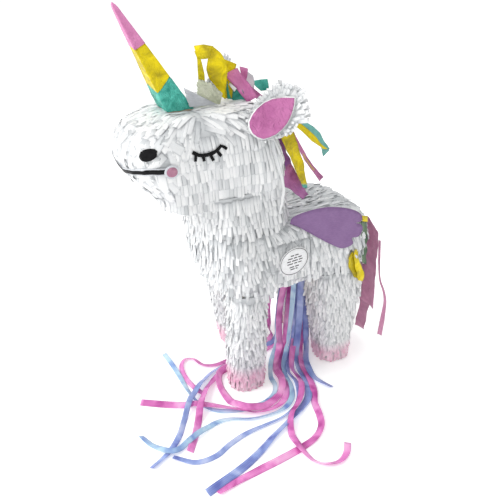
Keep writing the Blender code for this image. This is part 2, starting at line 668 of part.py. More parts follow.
def build_mouth():
    """The band round the muzzle and the round dot at each end."""
    half = [mouth_ring(MOUTH_END * step / MOUTH_STEPS) for step in range(MOUTH_STEPS + 1)]
    other = [[mirror_x(point, -1) for point in ring] for ring in reversed(half[1:])]
    mouth = object_from("mouth_sticker", loft(other + half))
    end = sum(half[-1], Vector()) / 4 + Vector((STICKER, 0, 0))
    for side in (1, -1):
        bm = bmesh.new()
        bmesh.ops.create_cone(
            bm, cap_ends=True, segments=20, radius1=MOUTH_DOT, radius2=MOUTH_DOT, depth=2 * STICKER,
            matrix=Matrix.Translation(mirror_x(end, side)) @ Matrix.Rotation(math.pi / 2, 4, "Y"))
        combine(mouth, cutter(object_from(f"mouth_dot_{side + 1}", bm)), "UNION")
    paint(mouth, BLACK, 0.5)


def build_face():
    """Stickers on the head's fringe: lashes, nostrils and the mouth."""
    for hand, side in (("left", 1), ("right", -1)):
        build_lashes(hand, side)
        build_nostril(hand, side)
    build_mouth()


def build_wings():
    along = Vector((math.sin(WING_SPLAY), math.cos(WING_SPLAY), 0))
    outward = Vector((math.cos(WING_SPLAY), -math.sin(WING_SPLAY), 0))
    for hand, side in (("left", 1), ("right", -1)):
        wing = plate(
            f"{hand}_wing", WING_OUTLINE, PAPER,
            lambda u, v, out, side=side: mirror_x(
                WING_ROOT + along * u * MM + outward * out + Vector((0, 0, v * MM)), side),
            mirror_x(WING_ROOT, side) + Vector((0, 0, 198 * MM)))
        paint(wing, (0.56, 0.42, 0.62), 0.55)


def build_hanger():
    line = smooth_line([Vector(point) * MM for point in LOOP_ROUTE], 5 * MM)
    paint(tube("hanging_loop", line, STRING_RADIUS), WHITE, 0.8)
    bm = bmesh.new()
    bmesh.ops.create_cone(
        bm, cap_ends=True, segments=16, radius1=STICK_RADIUS, radius2=STICK_RADIUS, depth=STICK_LENGTH,
        matrix=Matrix.Translation(STICK_CENTRE) @ Matrix.Rotation(math.pi / 2, 4, "Y"))
    paint(object_from("anchor_stick", bm), (0.80, 0.66, 0.45), 0.7)


def lay_ribbon(hole, landing, sway, floor_route, laid):
    """A ribbon's line: down from its hole, then over the floor, lifted in a long low hump over ribbons already down."""
    floor = RIBBON_RADIUS + 0.05 * MM
    hole, landing = Vector(hole), Vector(landing)
    points = [Vector((*hole, RIBBON_TOP))]
    for height, share, swung in RIBBON_DROPS:
        points.append(Vector((*(hole.lerp(landing, share) + RIBBON_SWAY * sway * swung), height)))
    points += [Vector((*point, 0)) for point in floor_route]
    line = smooth_line([Vector((point.x * MM, point.y * MM, max(point.z * MM, floor))) for point in points], RIBBON_STEP)
    clear = 2 * RIBBON_RADIUS + RIBBON_CLEARANCE
    needed = []
    for point in line:
        near = [
            other.z for other in laid
            if (other.xy - point.xy).length < clear and abs(other.z - point.z) < 3 * clear]
        needed.append(max(near) + clear if near else 0.0)
    reach = round(RIBBON_HUMP / RIBBON_STEP)
    lifted = []
    for index, point in enumerate(line):
        height = max(point.z, floor)
        for other in range(max(0, index - reach), min(len(line), index + reach + 1)):
            falloff = 0.5 + 0.5 * math.cos(math.pi * abs(other - index) / (reach + 1))
            height = max(height, needed[other] * falloff)
        lifted.append(Vector((point.x, point.y, height)))
    return lifted


def build_ribbons():
    laid = []
    for name, colour, hole, landing, sway, floor_route in RIBBONS:
        line = lay_ribbon(hole, landing, sway, floor_route, laid)
        laid.extend(line)
        kept = line[:-1:RIBBON_KEEP] + [line[-1]]
        paint(tube(name, kept, RIBBON_RADIUS), colour, 0.3)


def main():
    clear_scene()
    build_torso()
    build_neck_and_head()
    build_legs()
    build_trap_door()
    build_fill_flap()
    build_horn()
    build_forelock()
    build_strips()
    build_ears()
    build_face()
    build_wings()
    build_hanger()
    build_ribbons()


main()
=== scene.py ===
import math
import random

import bmesh
import bpy
from mathutils import Matrix, Vector, noise
from mathutils.bvhtree import BVHTree
from mathutils.geometry import delaunay_2d_cdt


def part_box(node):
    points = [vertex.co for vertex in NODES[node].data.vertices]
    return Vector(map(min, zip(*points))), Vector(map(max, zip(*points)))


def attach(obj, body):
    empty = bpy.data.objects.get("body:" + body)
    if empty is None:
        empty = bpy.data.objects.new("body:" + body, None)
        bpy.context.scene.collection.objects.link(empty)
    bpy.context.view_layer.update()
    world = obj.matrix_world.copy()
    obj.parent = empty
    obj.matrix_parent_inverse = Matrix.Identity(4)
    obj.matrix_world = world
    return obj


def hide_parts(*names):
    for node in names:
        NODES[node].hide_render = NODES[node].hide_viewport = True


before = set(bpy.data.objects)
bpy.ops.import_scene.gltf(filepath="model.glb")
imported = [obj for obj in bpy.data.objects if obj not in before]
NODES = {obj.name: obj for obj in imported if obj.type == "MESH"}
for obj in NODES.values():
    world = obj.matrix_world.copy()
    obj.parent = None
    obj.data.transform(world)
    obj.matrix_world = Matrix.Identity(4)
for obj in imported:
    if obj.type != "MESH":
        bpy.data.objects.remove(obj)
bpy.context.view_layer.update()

MM = 0.001
UP, DOWN = Vector((0, 0, 1)), Vector((0, 0, -1))

# Camera
CAMERA_PLACE = Vector((0.6121, -0.3381, 0.5193))
CAMERA_LOOKS = Vector((-0.7745, 0.4240, -0.4695))
CAMERA_LENS = 50.4

WHITE = (1, 1, 1)

# Ribbons, as in the CAD source: name, colour, width, hole in the belly, landing point, sway and route over the
# floor, in mm
RIBBON_RADIUS = 1.6 * MM
RIBBON_CLEARANCE = 0.6 * MM
RIBBON_HUMP = 26 * MM
RIBBON_STEP = 3 * MM
RIBBON_KEEP = 3
RIBBON_TOP = 125.4
RIBBON_WALL = 0.18 * MM
RIBBON_SEED = 40
# The way the hanging lengths face, and the height under which a ribbon is lying down
RIBBON_FACING = 1.07
RIBBON_LANDS = 12 * MM
# Heights on the way down, and at each the share of the way to the landing and of the sway to the side
RIBBON_DROPS = ((110, 0.02, 0.3), (80, 0.14, 0.9), (50, 0.36, 1.0), (24, 0.68, 0.5), (8, 0.92, 0.1))
RIBBON_SWAY = Vector((0.48, 0.877))
RIBBONS = (
    ("ribbon_01", "pale_blue", 5.6, (-4.5, 49), (3, 32), -4, (
        (21, 15), (47, -1), (64, -5), (77, -15), (84, -30), (84, -48), (80, -66), (70, -84), (50, -95),
        (24, -97), (-2, -95), (-28, -94), (-54, -94))),
    ("ribbon_02", "pink", 7.8, (-4.5, 58), (5, 42), -2, (
        (22, 28), (48, 12), (69, 7), (88, -6), (96, -22), (96, -40), (88, -58), (76, -72), (64, -86),
        (50, -104), (36, -128), (18, -152))),
    ("ribbon_03", "pink", 6.0, (-13.5, 49), (-14, 34), -12, (
        (-13, 17), (-9, -7), (-4, -31), (-4, -50), (-12, -62), (-26, -66), (-32, -75), (-22, -85),
        (-2, -90), (20, -89), (38, -84))),
    ("ribbon_04", "pink", 7.8, (-13.5, 67), (-6, 46), 4, (
        (-4, 30), (0, 7), (5, -20), (11, -44), (20, -62), (36, -80), (56, -95), (76, -108), (96, -121),
        (114, -135))),
    ("ribbon_05", "blue", 6.4, (-13.5, 58), (-11, 40), -6, (
        (-8, 24), (-4, -3), (1, -27), (4, -48), (10, -64), (24, -82), (44, -102), (68, -121),
        (88, -136), (104, -154), (116, -178))),
    ("pull_ribbon", "pale_blue", 6.3, (13.5, 49), (21, 35), 0, (
        (35, 24), (52, 16), (71, 12), (90, 2), (102, -14), (104, -34), (100, -56), (90, -76), (88, -94),
        (96, -116), (104, -136), (108, -150), (100, -160), (86, -166), (68, -171))),
    ("ribbon_07", "pink", 8.4, (4.5, 49), (11, 32), -8, (
        (26, 18), (43, 9), (60, 6), (75, -3), (86, -20), (90, -38), (85, -53), (70, -62), (50, -63), (30, -60),
        (16, -52), (10, -38), (9, -20), (9, -2))),
    ("ribbon_08", "blue", 5.6, (4.5, 58), (16, 45), 2, (
        (30, 34), (49, 22), (70, 20), (92, 10), (106, -4), (114, -24), (116, -48), (118, -72),
        (124, -94), (132, -114), (130, -136), (112, -153))),
    ("ribbon_09", "blue", 8.4, (13.5, 58), (28, 45), 1, (
        (39, 41), (55, 34), (77, 30), (99, 18), (112, 0), (124, -24), (136, -50), (150, -76),
        (162, -106), (172, -143))),
    ("ribbon_10", "blue", 7.6, (13.5, 67), (25, 63), -1, (
        (41, 52), (58, 46), (72, 43), (85, 46), (98, 51))),
    ("ribbon_11", "pink", 7.8, (4.5, 67), (16, 58), 9, (
        (34, 49), (51, 41), (72, 37), (94, 29), (112, 18), (130, 12), (146, 4), (158, -12), (164, -34),
        (168, -60), (170, -86), (172, -110), (176, -134))),
    ("ribbon_12", "pink", 7.2, (-4.5, 67), (11, 55), 8, (
        (26, 42), (46, 29), (68, 26), (88, 16), (104, 2), (118, -16), (136, -28), (156, -34),
        (176, -34), (192, -26), (198, -10), (192, 4), (180, 14))),
)
LOOP_Z = 197.8
# One side of the hanging loop, from its front end to its rear
LOOP_HALF = ((7, 40), (12, 46), (18, 56), (19, 68), (13, 79))
LOOP_ROUTE = (
    *((-x, y, LOOP_Z) for x, y in LOOP_HALF), (0, 84, LOOP_Z),
    *((x, y, LOOP_Z) for x, y in reversed(LOOP_HALF)))
LOOP_STEP = 5 * MM
PAPER_WALL, WHITE_WALL = 0.3 * MM, 0.25 * MM
STRING_RADIUS = 1.0 * MM
STRING_STEP = 0.8 * MM
STRING_SIDES = 12


# ---------------------------------------------------------------- camera, floor and light

def set_the_camera():
    data = bpy.data.cameras.new("camera")
    data.lens = CAMERA_LENS
    data.sensor_width = 36
    data.clip_start = 0.01
    camera = bpy.data.objects.new("camera", data)
    camera.location = CAMERA_PLACE
    camera.rotation_euler = CAMERA_LOOKS.to_track_quat("-Z", "Y").to_euler()
    bpy.context.scene.collection.objects.link(camera)
    bpy.context.scene.camera = camera


# Each light's name, place, size in metres and power in watts
LIGHTS = (
    ("key", (-0.10, -1.25, 1.15), 0.6, 11), ("fill", (1.2, -0.6, 0.9), 1.0, 3.0),
    ("top", (-0.5, 0.4, 1.6), 1.0, 3.5))
LIGHTS_LOOK_AT = Vector((0, 0, 0.2))
# The studio's brightest side, how far off it each strength is met, and the two strengths
STUDIO_BRIGHT_WAY = (-0.80, 0.10, 0.30)
STUDIO_FADE = (-0.75, 0.35)
STUDIO_STRENGTH = (0.38, 0.92)
FLOOR_SIZE, FLOOR_GLOW = 6, 0.28


def area_light(name, place, size, energy):
    data = bpy.data.lights.new(name, "AREA")
    data.shape = "DISK"
    data.size = size
    data.energy = energy
    light = bpy.data.objects.new(name, data)
    light.location = place
    light.rotation_euler = (LIGHTS_LOOK_AT - Vector(place)).to_track_quat("-Z", "Y").to_euler()
    bpy.context.scene.collection.objects.link(light)


def set_the_world():
    """A studio that is brightest to the object's right, over its head, and dimmest on its left."""
    world = bpy.data.worlds.new("studio")
    world.use_nodes = True
    tree = world.node_tree
    way = add(tree, "TexCoord").outputs["Generated"]
    dot = add(tree, "VectorMath", i0=way, i1=STUDIO_BRIGHT_WAY)
    dot.operation = "DOT_PRODUCT"
    reach = add(
        tree, "MapRange", Value=dot.outputs["Value"], From_Min=STUDIO_FADE[0], From_Max=STUDIO_FADE[1],
        To_Min=STUDIO_STRENGTH[0], To_Max=STUDIO_STRENGTH[1])
    reach.interpolation_type = "SMOOTHSTEP"
    background = tree.nodes["Background"]
    tree.links.new(reach.outputs["Result"], background.inputs["Strength"])
    background.inputs["Color"].default_value = (*WHITE, 1)
    bpy.context.scene.world = world


def set_the_stage():
    scene = bpy.context.scene
    scene.view_settings.view_transform = "Standard"
    set_the_world()
    bm = bmesh.new()
    bmesh.ops.create_grid(bm, x_segments=2, y_segments=2, size=FLOOR_SIZE)
    mesh = bpy.data.meshes.new("floor")
    bm.to_mesh(mesh)
    bm.free()
    floor = bpy.data.objects.new("floor", mesh)
    scene.collection.objects.link(floor)
    material, _, shader = new_material("floor_paper", grey(0.95), 0.9)
    shader.inputs["Emission Color"].default_value = (*WHITE, 1)
    shader.inputs["Emission Strength"].default_value = FLOOR_GLOW
    mesh.materials.append(material)
    for light in LIGHTS:
        area_light(*light)


# ---------------------------------------------------------------- materials

def srgb(*levels):
    """A colour of the usual 0 to 255 levels as linear light."""
    return tuple(
        (v / 255 / 12.92) if v / 255 <= 0.04045 else ((v / 255 + 0.055) / 1.055) ** 2.4 for v in levels)


def grey(level):
    return (level,) * 3


def new_material(name, colour, roughness):
    material = bpy.data.materials.new(name)
    material.use_nodes = True
    tree = material.node_tree
    shader = tree.nodes["Principled BSDF"]
    shader.inputs["Base Color"].default_value = (*colour, 1)
    shader.inputs["Roughness"].default_value = roughness
    return material, tree, shader


def add(tree, kind, **inputs):
    """A node with some of its inputs set or linked. A socket is linked, and anything else is its value."""
    node = tree.nodes.new("ShaderNode" + kind)
    for name, value in inputs.items():
        socket = node.inputs[int(name[1:]) if name[1:].isdigit() else name.replace("_", " ")]
        if isinstance(value, bpy.types.NodeSocket):
            tree.links.new(value, socket)
        else:
            socket.default_value = value
    return node


def place_of(tree, stretch=(1, 1, 1)):
    coordinates = add(tree, "TexCoord").outputs["Object"]
    return add(tree, "Mapping", Vector=coordinates, Scale=stretch).outputs["Vector"]


def noise_of(tree, scale, detail=3.0, stretch=(1, 1, 1), distortion=0.0):
    return add(
        tree, "TexNoise", Vector=place_of(tree, stretch), Scale=scale, Detail=detail, Distortion=distortion
    ).outputs["Fac"]


def math_of(tree, operation, first, second=0.0):
    node = add(tree, "Math", i0=first, i1=second)
    node.operation = operation
    return node.outputs[0]


def ramp_of(tree, factor, *stops):
    node = add(tree, "ValToRGB", Fac=factor)
    elements = node.color_ramp.elements
    while len(elements) < len(stops):
        elements.new(0.5)
    for element, (place, colour) in zip(elements, stops):
        element.position = place
        element.color = (*colour, 1)
    return node.outputs["Color"]


def mix_of(tree, factor, first, second, blend="MIX"):
    node = tree.nodes.new("ShaderNodeMix")
    node.data_type = "RGBA"
    node.blend_type = blend
    for index, value in ((0, factor), (6, first), (7, second)):
        if isinstance(value, bpy.types.NodeSocket):
            tree.links.new(value, node.inputs[index])
        else:
            node.inputs[index].default_value = (*value, 1) if isinstance(value, tuple) else value
    return node.outputs[2]


def attribute_of(tree, name):
    node = tree.nodes.new("ShaderNodeAttribute")
    node.attribute_name = name
    return node.outputs["Fac"]


def shaded(tree, colour, factor, *stops):
    """A colour times the ramp that a factor reads."""
    return mix_of(tree, 1.0, colour, ramp_of(tree, factor, *stops), "MULTIPLY")


def edged(tree, colour, start, width, end):
    """A colour that is darker along the two long edges of a strip, over a share of its width."""
    across = attribute_of(tree, "across")
    return shaded(tree, colour, across, (0.0, start), (width, WHITE), (1 - width, WHITE), (1.0, end))


def finished(made, colour, height, strength, distance, **uniform):
    """A material with its colour, its bump, and the shader inputs that are the same all over it."""
    material, tree, shader = made
    tree.links.new(colour, shader.inputs["Base Color"])
    bump = add(tree, "Bump", Height=height, Strength=strength, Distance=distance)
    tree.links.new(bump.outputs["Normal"], shader.inputs["Normal"])
    for name, value in uniform.items():
        shader.inputs[name.replace("_", " ")].default_value = value
    return material


def white_tissue():
    """Cut tissue: each strip its own white, shaded towards its covered end and along its cut edges."""
    made = new_material("white_tissue", grey(0.9), 0.5)
    tree = made[1]
    # Each strip's lightness from its tone, which is random round its fringe style's level of painted shade
    colour = ramp_of(
        tree, attribute_of(tree, "tone"),
        (0, (0.56, 0.58, 0.59)), (0.4, (0.79, 0.805, 0.81)), (1, (0.95, 0.955, 0.95)))
    colour = shaded(tree, colour, noise_of(tree, 1400, 2), (0.3, (0.93, 0.935, 0.94)), (0.7, WHITE))
    # Darker towards the covered end: painted shade under the row above; a little darker at the free tip too
    colour = shaded(
        tree, colour, attribute_of(tree, "along"),
        (0.0, (0.62, 0.635, 0.65)), (0.4, (0.92, 0.925, 0.93)), (0.92, WHITE), (1, (0.86, 0.87, 0.88)))
    # Darker along the long edges: painted shade of the slits between strips
    colour = edged(tree, colour, (0.62, 0.63, 0.65), 0.16, (0.66, 0.67, 0.69))
    pink = ramp_of(tree, noise_of(tree, 160, 2), (0.3, (0.86, 0.40, 0.58)), (0.7, (0.92, 0.56, 0.70)))
    colour = mix_of(tree, attribute_of(tree, "pink"), colour, pink)
    height = math_of(tree, "ADD", noise_of(tree, 520, 3, (1, 1, 0.35)), noise_of(tree, 1800, 1))
    return finished(made, colour, height, 0.5, 0.0004, Sheen_Weight=0.15, Specular_IOR_Level=0.45)


TISSUE_ROUGHNESS = 0.42
# Noise levels where a tissue goes from its painted shade tone to its lit tone
TISSUE_TONES = (0.30, 0.62)


def crumpled_paper(name, light, dark, second=None, crease=0.5, scale=70):
    """Coloured tissue with soft creases, in a lit tone and a painted shade tone mixed in patches and, where pieces
    ask for it, a second colour; each piece's tone darkens it with more painted shade.
    """
    made = new_material(name, light, TISSUE_ROUGHNESS)
    _, tree, shader = made

    def patches(*tones):
        return ramp_of(tree, noise_of(tree, scale, 4, distortion=0.8), *zip(TISSUE_TONES, tones))
    # The tissue's shaded tone and its lit tone in noise patches: painted shade
    colour = patches(dark, light)
    if second:
        # The second colour and a copy at three quarters of it as its painted shade
        other = patches(tuple(v * 0.75 for v in second), second)
        colour = mix_of(tree, attribute_of(tree, "pink"), colour, other)
    colour = shaded(tree, colour, noise_of(tree, 1500, 1), (0.3, grey(0.93)), (0.7, WHITE))
    # A piece's tone darkens it: painted shade on pieces that lie in shadow
    colour = shaded(tree, colour, attribute_of(tree, "tone"), (0.0, (0.55, 0.55, 0.58)), (1.0, WHITE))
    colour = edged(tree, colour, grey(0.82), 0.08, grey(0.82))
    rough = ramp_of(
        tree, noise_of(tree, 300, 2),
        (0.3, grey(TISSUE_ROUGHNESS - 0.08)), (0.7, grey(TISSUE_ROUGHNESS + 0.1)))
    tree.links.new(rough, shader.inputs["Roughness"])
    ridges = noise_of(tree, scale * 2.2, distortion=1.0)
    folded = math_of(tree, "ABSOLUTE", math_of(tree, "SUBTRACT", ridges, 0.5))
    height = math_of(tree, "SUBTRACT", noise_of(tree, scale * 6, 2), math_of(tree, "MULTIPLY", folded, 4.0))
    return finished(made, colour, height, crease, 0.0010, Specular_IOR_Level=0.3)


def satin(name, light, dark):
    """Curling ribbon: fine ribs across it, streaks along it, and bright and dark lengths that are painted reflection
    and shade of the satin, the brightest a painted highlight.
    """
    made = new_material(name, light, 0.30)
    tree = made[1]
    patches = math_of(tree, "MULTIPLY", noise_of(tree, 46, 2, distortion=0.4), 0.75)
    across = add(tree, "CombineXYZ", X=math_of(tree, "MULTIPLY", attribute_of(tree, "across"), 9.0))
    streaks = add(tree, "TexNoise", Vector=across.outputs["Vector"], Scale=1.0)
    bands = math_of(tree, "ADD", patches, math_of(tree, "MULTIPLY", streaks.outputs["Fac"], 0.25))
    # The dark, light and pale bands along the ribbon are painted shade, painted reflection and a painted highlight of
    # the satin
    pale = tuple(min(1.0, 0.35 + 0.7 * v) for v in light)
    colour = ramp_of(tree, bands, (0.34, dark), (0.52, light), (0.66, pale))
    colour = edged(tree, colour, (0.80, 0.80, 0.83), 0.06, (0.80, 0.80, 0.83))
    ribs = math_of(tree, "SINE", math_of(tree, "MULTIPLY", attribute_of(tree, "along"), 900.0))
    height = math_of(tree, "ADD", ribs, math_of(tree, "MULTIPLY", noise_of(tree, 260, 2), 2.0))
    return finished(made, colour, height, 0.12, 0.0003, Specular_IOR_Level=0.8, Anisotropic=0.6)


def plain_card(name, light, dark, roughness=0.7, flecks=0.0):
    """Card: short fibres of two tones and a slight mottle."""
    made = new_material(name, light, roughness)
    tree = made[1]
    colour = ramp_of(tree, noise_of(tree, 60, 4), (0.3, dark), (0.7, light))
    colour = shaded(tree, colour, noise_of(tree, 900, 3, (1, 0.25, 1)), (0.35, grey(0.88)), (0.65, WHITE))
    if flecks:
        colour = shaded(tree, colour, noise_of(tree, 420, 1), (0.66, WHITE), (0.72, grey(1 - flecks)))
    return finished(made, colour, noise_of(tree, 700, 3), 0.25, 0.0003)


def vinyl_black():
    made = new_material("black_sticker", (0.005, 0.005, 0.006), 0.5)
    tree = made[1]
    colour = ramp_of(tree, noise_of(tree, 300, 3), (0.3, (0.003, 0.003, 0.004)), (0.7, (0.010, 0.010, 0.011)))
    return finished(made, colour, noise_of(tree, 240, 2), 0.2, 0.0004, Specular_IOR_Level=0.12)


# ---------------------------------------------------------------- mesh helpers

BAND_STEP = 3.0 * MM


class Bits:
    """Collects small sheets into one mesh, with places along and across each, its tone and its pink as attributes."""

    def __init__(self):
        self.points = []
        self.faces = []
        self.values = {"along": [], "across": [], "tone": [], "pink": []}

    def put(self, point, *values):
        self.points.append(point)
        for kept, value in zip(self.values.values(), values):
            kept.append(value)

    def grid(self, rows, tone=1.0, pink=None):
        """A sheet given as rows of points from its fixed end to its free one."""
        first, tall, wide = len(self.points), len(rows) - 1, len(rows[0])
        for i, row in enumerate(rows):
            for j, point in enumerate(row):
                along, across = i / tall, j / (wide - 1)
                self.put(point, along, across, tone, pink(point, along, across) if pink else 0.0)
        for i in range(tall):
            for j in range(wide - 1):
                a = first + i * wide + j
                self.faces.append((a, a + 1, a + wide + 1, a + wide))

    def backing(self, node, crumple, scale):
        """A copy of a CAD skin, slightly crumpled, and painted darker than the strips: painted shade under them."""
        bm = bmesh.new()
        bm.from_mesh(NODES[node].data)
        bmesh.ops.triangulate(bm, faces=bm.faces)
        first = len(self.points)
        bm.normal_update()
        for vert in bm.verts:
            # Low along and tone: the skin is painted darker, as shade under the strips
            self.put(vert.co + vert.normal * (noise.noise(vert.co * scale) * crumple), 0.3, 0.5, 0.25, 0.0)
        for face in bm.faces:
            self.faces.append(tuple(first + vert.index for vert in face.verts))
        bm.free()

    def cut(self, edge, place, spacing, tone=1.0):
        """A sheet cut to an outline in its own plane, with points inside it, so that it can bend."""
        edge = [Vector(point) for point in edge]
        inside = []
        low = Vector((min(p.x for p in edge), min(p.y for p in edge)))
        high = Vector((max(p.x for p in edge), max(p.y for p in edge)))
        v = low.y + spacing / 2
        while v < high.y:
            u = low.x + spacing / 2
            while u < high.x:
                spot = Vector((u, v))
                if inside_of(spot, edge) and min((spot - p).length for p in edge) > spacing * 0.55:
                    inside.append(spot)
                u += spacing
            v += spacing
        lines = [(i, (i + 1) % len(edge)) for i in range(len(edge))]
        spots, _, faces, _, _, _ = delaunay_2d_cdt(edge + inside, lines, [], 1, 1e-5)
        first = len(self.points)
        for index, spot in enumerate(spots):
            along = (spot.y - low.y) / (high.y - low.y)
            self.put(place(spot.x, spot.y), along, 0.0 if index < len(edge) else 0.5, tone, 0.0)
        self.faces += [tuple(first + i for i in face) for face in faces]

    def band(self, left, right, cols=6, bow=0.0, crumple=0.0, tone=1.0, pink=None):
        """A paper strip between two edge lines, bowed by a share of its width and crumpled."""
        count = max(3, round(max(length_of(left), length_of(right)) / BAND_STEP))
        left, right = spread(left, count), spread(right, count)
        rows = []
        for i in range(count + 1):
            wide = right[i] - left[i]
            out = wide.cross(tangent_at(left, i) + tangent_at(right, i)).normalized()
            row = []
            for j in range(cols + 1):
                u = j / cols
                swell = bow * wide.length * 4 * u * (1 - u)
                spot = left[i].lerp(right[i], u)
                row.append(spot + out * (swell + noise.noise(spot * 110) * crumple))
            rows.append(row)
        self.grid(rows, tone, pink)

    def make(self, name, material, body="root"):
        mesh = bpy.data.meshes.new(name)
        mesh.from_pydata([tuple(p) for p in self.points], [], self.faces)
        mesh.polygons.foreach_set("use_smooth", [True] * len(mesh.polygons))
        for key, values in self.values.items():
            mesh.attributes.new(key, "FLOAT", "POINT").data.foreach_set("value", values)
        mesh.materials.append(material)
        obj = bpy.data.objects.new(name, mesh)
        bpy.context.scene.collection.objects.link(obj)
        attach(obj, body)
        return obj


def smooth_line(points, step):
    """A Catmull-Rom curve through the points, read at about equal distances."""
    points = [Vector(point) for point in points]
    padded = [2 * points[0] - points[1]] + points + [2 * points[-1] - points[-2]]
    line = [points[0]]
    for before, start, end, after in zip(padded, padded[1:], padded[2:], padded[3:]):
        count = max(1, round((end - start).length / step))
        for i in range(1, count + 1):
            t = i / count
            line.append(
                0.5 * (2 * start + (end - before) * t + (2 * before - 5 * start + 4 * end - after) * t**2
                       + (3 * start - before - 3 * end + after) * t**3)
            )
    return line


def tangent_at(line, i):
    return (line[min(i + 1, len(line) - 1)] - line[max(i - 1, 0)]).normalized()


def length_of(line):
    return sum((Vector(b) - Vector(a)).length for a, b in zip(line, line[1:]))


def spread(points, count):
    """A line through some points, read at equal distances: count steps."""
    points = [Vector(point) for point in points]
    ends = [0.0]
    for a, b in zip(points, points[1:]):
        ends.append(ends[-1] + (b - a).length)
    line = []
    for i in range(count + 1):
        reach = ends[-1] * i / count
        k = max(n for n in range(len(points) - 1) if ends[n] <= reach + 1e-9)
        line.append(points[k].lerp(points[k + 1], min(1.0, (reach - ends[k]) / (ends[k + 1] - ends[k]))))
    return line


def inside_of(spot, edge):
    """Whether a point is inside a closed outline."""
    odd = False
    for a, b in zip(edge, edge[1:] + edge[:1]):
        if (a.y > spot.y) != (b.y > spot.y) and spot.x < (b.x - a.x) * (spot.y - a.y) / (b.y - a.y) + a.x:
            odd = not odd
    return odd


def along_sight(x, point):
    """The point with this x that the camera sees in the same place as the given one, which is in mm."""
    point = Vector(point)
    eye = CAMERA_PLACE / MM
    return (eye + (point - eye) * (x - eye.x) / (point.x - eye.x)) * MM


def on_skin(tree, point, lift):
    """A place above the nearest point of a skin."""
    hit, facing, _, _ = tree.find_nearest(point)
    return hit + facing * lift


def mirrored(point, side):
    return Vector((side * point[0], point[1], point[2]))


def thick(obj, thickness):
    wall = obj.modifiers.new("thickness", "SOLIDIFY")
    wall.thickness = thickness
    wall.offset = 0
    return obj


def tree_of(*names):
    """A search tree of some CAD nodes together."""
    points, faces = [], []
    for name in names:
        first = len(points)
        mesh = NODES[name].data
        points += [v.co.copy() for v in mesh.vertices]
        faces += [tuple(first + i for i in p.vertices) for p in mesh.polygons]
    return BVHTree.FromPolygons(points, faces)


# ---------------------------------------------------------------- cords

def lay_ribbon(hole, landing, sway, floor_route, laid):
    """A ribbon's line: down from its hole, then over the floor and, in long low humps, over ribbons laid before."""
    floor = RIBBON_RADIUS + 0.05 * MM
    hole, landing = Vector(hole), Vector(landing)
    points = [Vector((*hole, RIBBON_TOP))]
    for height, share, swung in RIBBON_DROPS:
        points.append(Vector((*(hole.lerp(landing, share) + RIBBON_SWAY * sway * swung), height)))
    points += [Vector((*point, 0)) for point in floor_route]
    points = [Vector((point.x * MM, point.y * MM, max(point.z * MM, floor))) for point in points]
    line = smooth_line(points, RIBBON_STEP)
    clear = 2 * RIBBON_RADIUS + RIBBON_CLEARANCE
    needed = []
    for point in line:
        near = [
            other.z for other in laid
            if (other.xy - point.xy).length < clear and abs(other.z - point.z) < 3 * clear]
        needed.append(max(near) + clear if near else 0.0)
    reach = round(RIBBON_HUMP / RIBBON_STEP)
    lifted = []
    for index, point in enumerate(line):
        height = max(point.z, floor)
        for other in range(max(0, index - reach), min(len(line), index + reach + 1)):
            falloff = 0.5 + 0.5 * math.cos(math.pi * abs(other - index) / (reach + 1))
            height = max(height, needed[other] * falloff)
        lifted.append(Vector((point.x, point.y, height)))
    return lifted


def flat_ribbon(name, line, width, material, seed):
    """A flat satin ribbon on a line: it faces forwards where it hangs, lies down on the floor, and rolls."""
    rng = random.Random(seed)
    phase, turns, heading = rng.uniform(0, 6.28), rng.uniform(0.8, 1.4), rng.uniform(-0.5, 0.5)
    facing = Vector((math.cos(RIBBON_FACING + heading), math.sin(RIBBON_FACING + heading), 0))
    lands = next(i for i, point in enumerate(line) if point.z < RIBBON_LANDS)
    flip = 1 if tangent_at(line, lands).cross(UP).dot(facing) >= 0 else -1
    bits = Bits()
    rows = []
    for i, point in enumerate(line):
        ahead = tangent_at(line, i)
        high = min(1.0, max(0.0, (point.z - 0.006) / 0.05))
        flat_side = ahead.cross(UP) * flip
        side = facing if flat_side.length < 0.05 else flat_side.normalized().lerp(facing, high)
        side = (side - side.dot(ahead) * ahead).normalized()
        out = side.cross(ahead).normalized()
        reach = i * RIBBON_STEP
        rock = 0.50 * math.sin(phase + 34 * turns * reach) * (1 - high)
        rock += 0.45 * high * math.sin(phase + 26 * reach)
        across = side * math.cos(rock) + out * math.sin(rock)
        up = across.cross(ahead)
        low = min((point + across * u * width).z for u in (-0.5, 0.5))
        lift = UP * min(1.6 * MM, max(0.0, 0.5 * MM - low))
        row = []
        for j in range(5):
            u = j / 4 - 0.5
            spot = point + lift + across * u * width + up * (0.25 - u * u) * 0.05 * width
            spot.z = max(spot.z, 0.4 * MM)
            row.append(spot)
        rows.append(row)
    bits.grid(rows)
    return thick(bits.make(name, material), RIBBON_WALL)


def declare_cord(route):
    tuple(route[0])
    round(length_of(route), 3)
    [tuple(p) for p in route]


def make_ribbons(satins):
    laid = []
    for index, (name, colour, width, hole, landing, sway, floor_route) in enumerate(RIBBONS):
        line = lay_ribbon(hole, landing, sway, floor_route, laid)
        laid.extend(line)
        ribbon = flat_ribbon(f"satin_{name}", line, width * MM, satins[colour], RIBBON_SEED + index)
        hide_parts(name)
        declare_cord(line[:-1:RIBBON_KEEP] + [line[-1]])


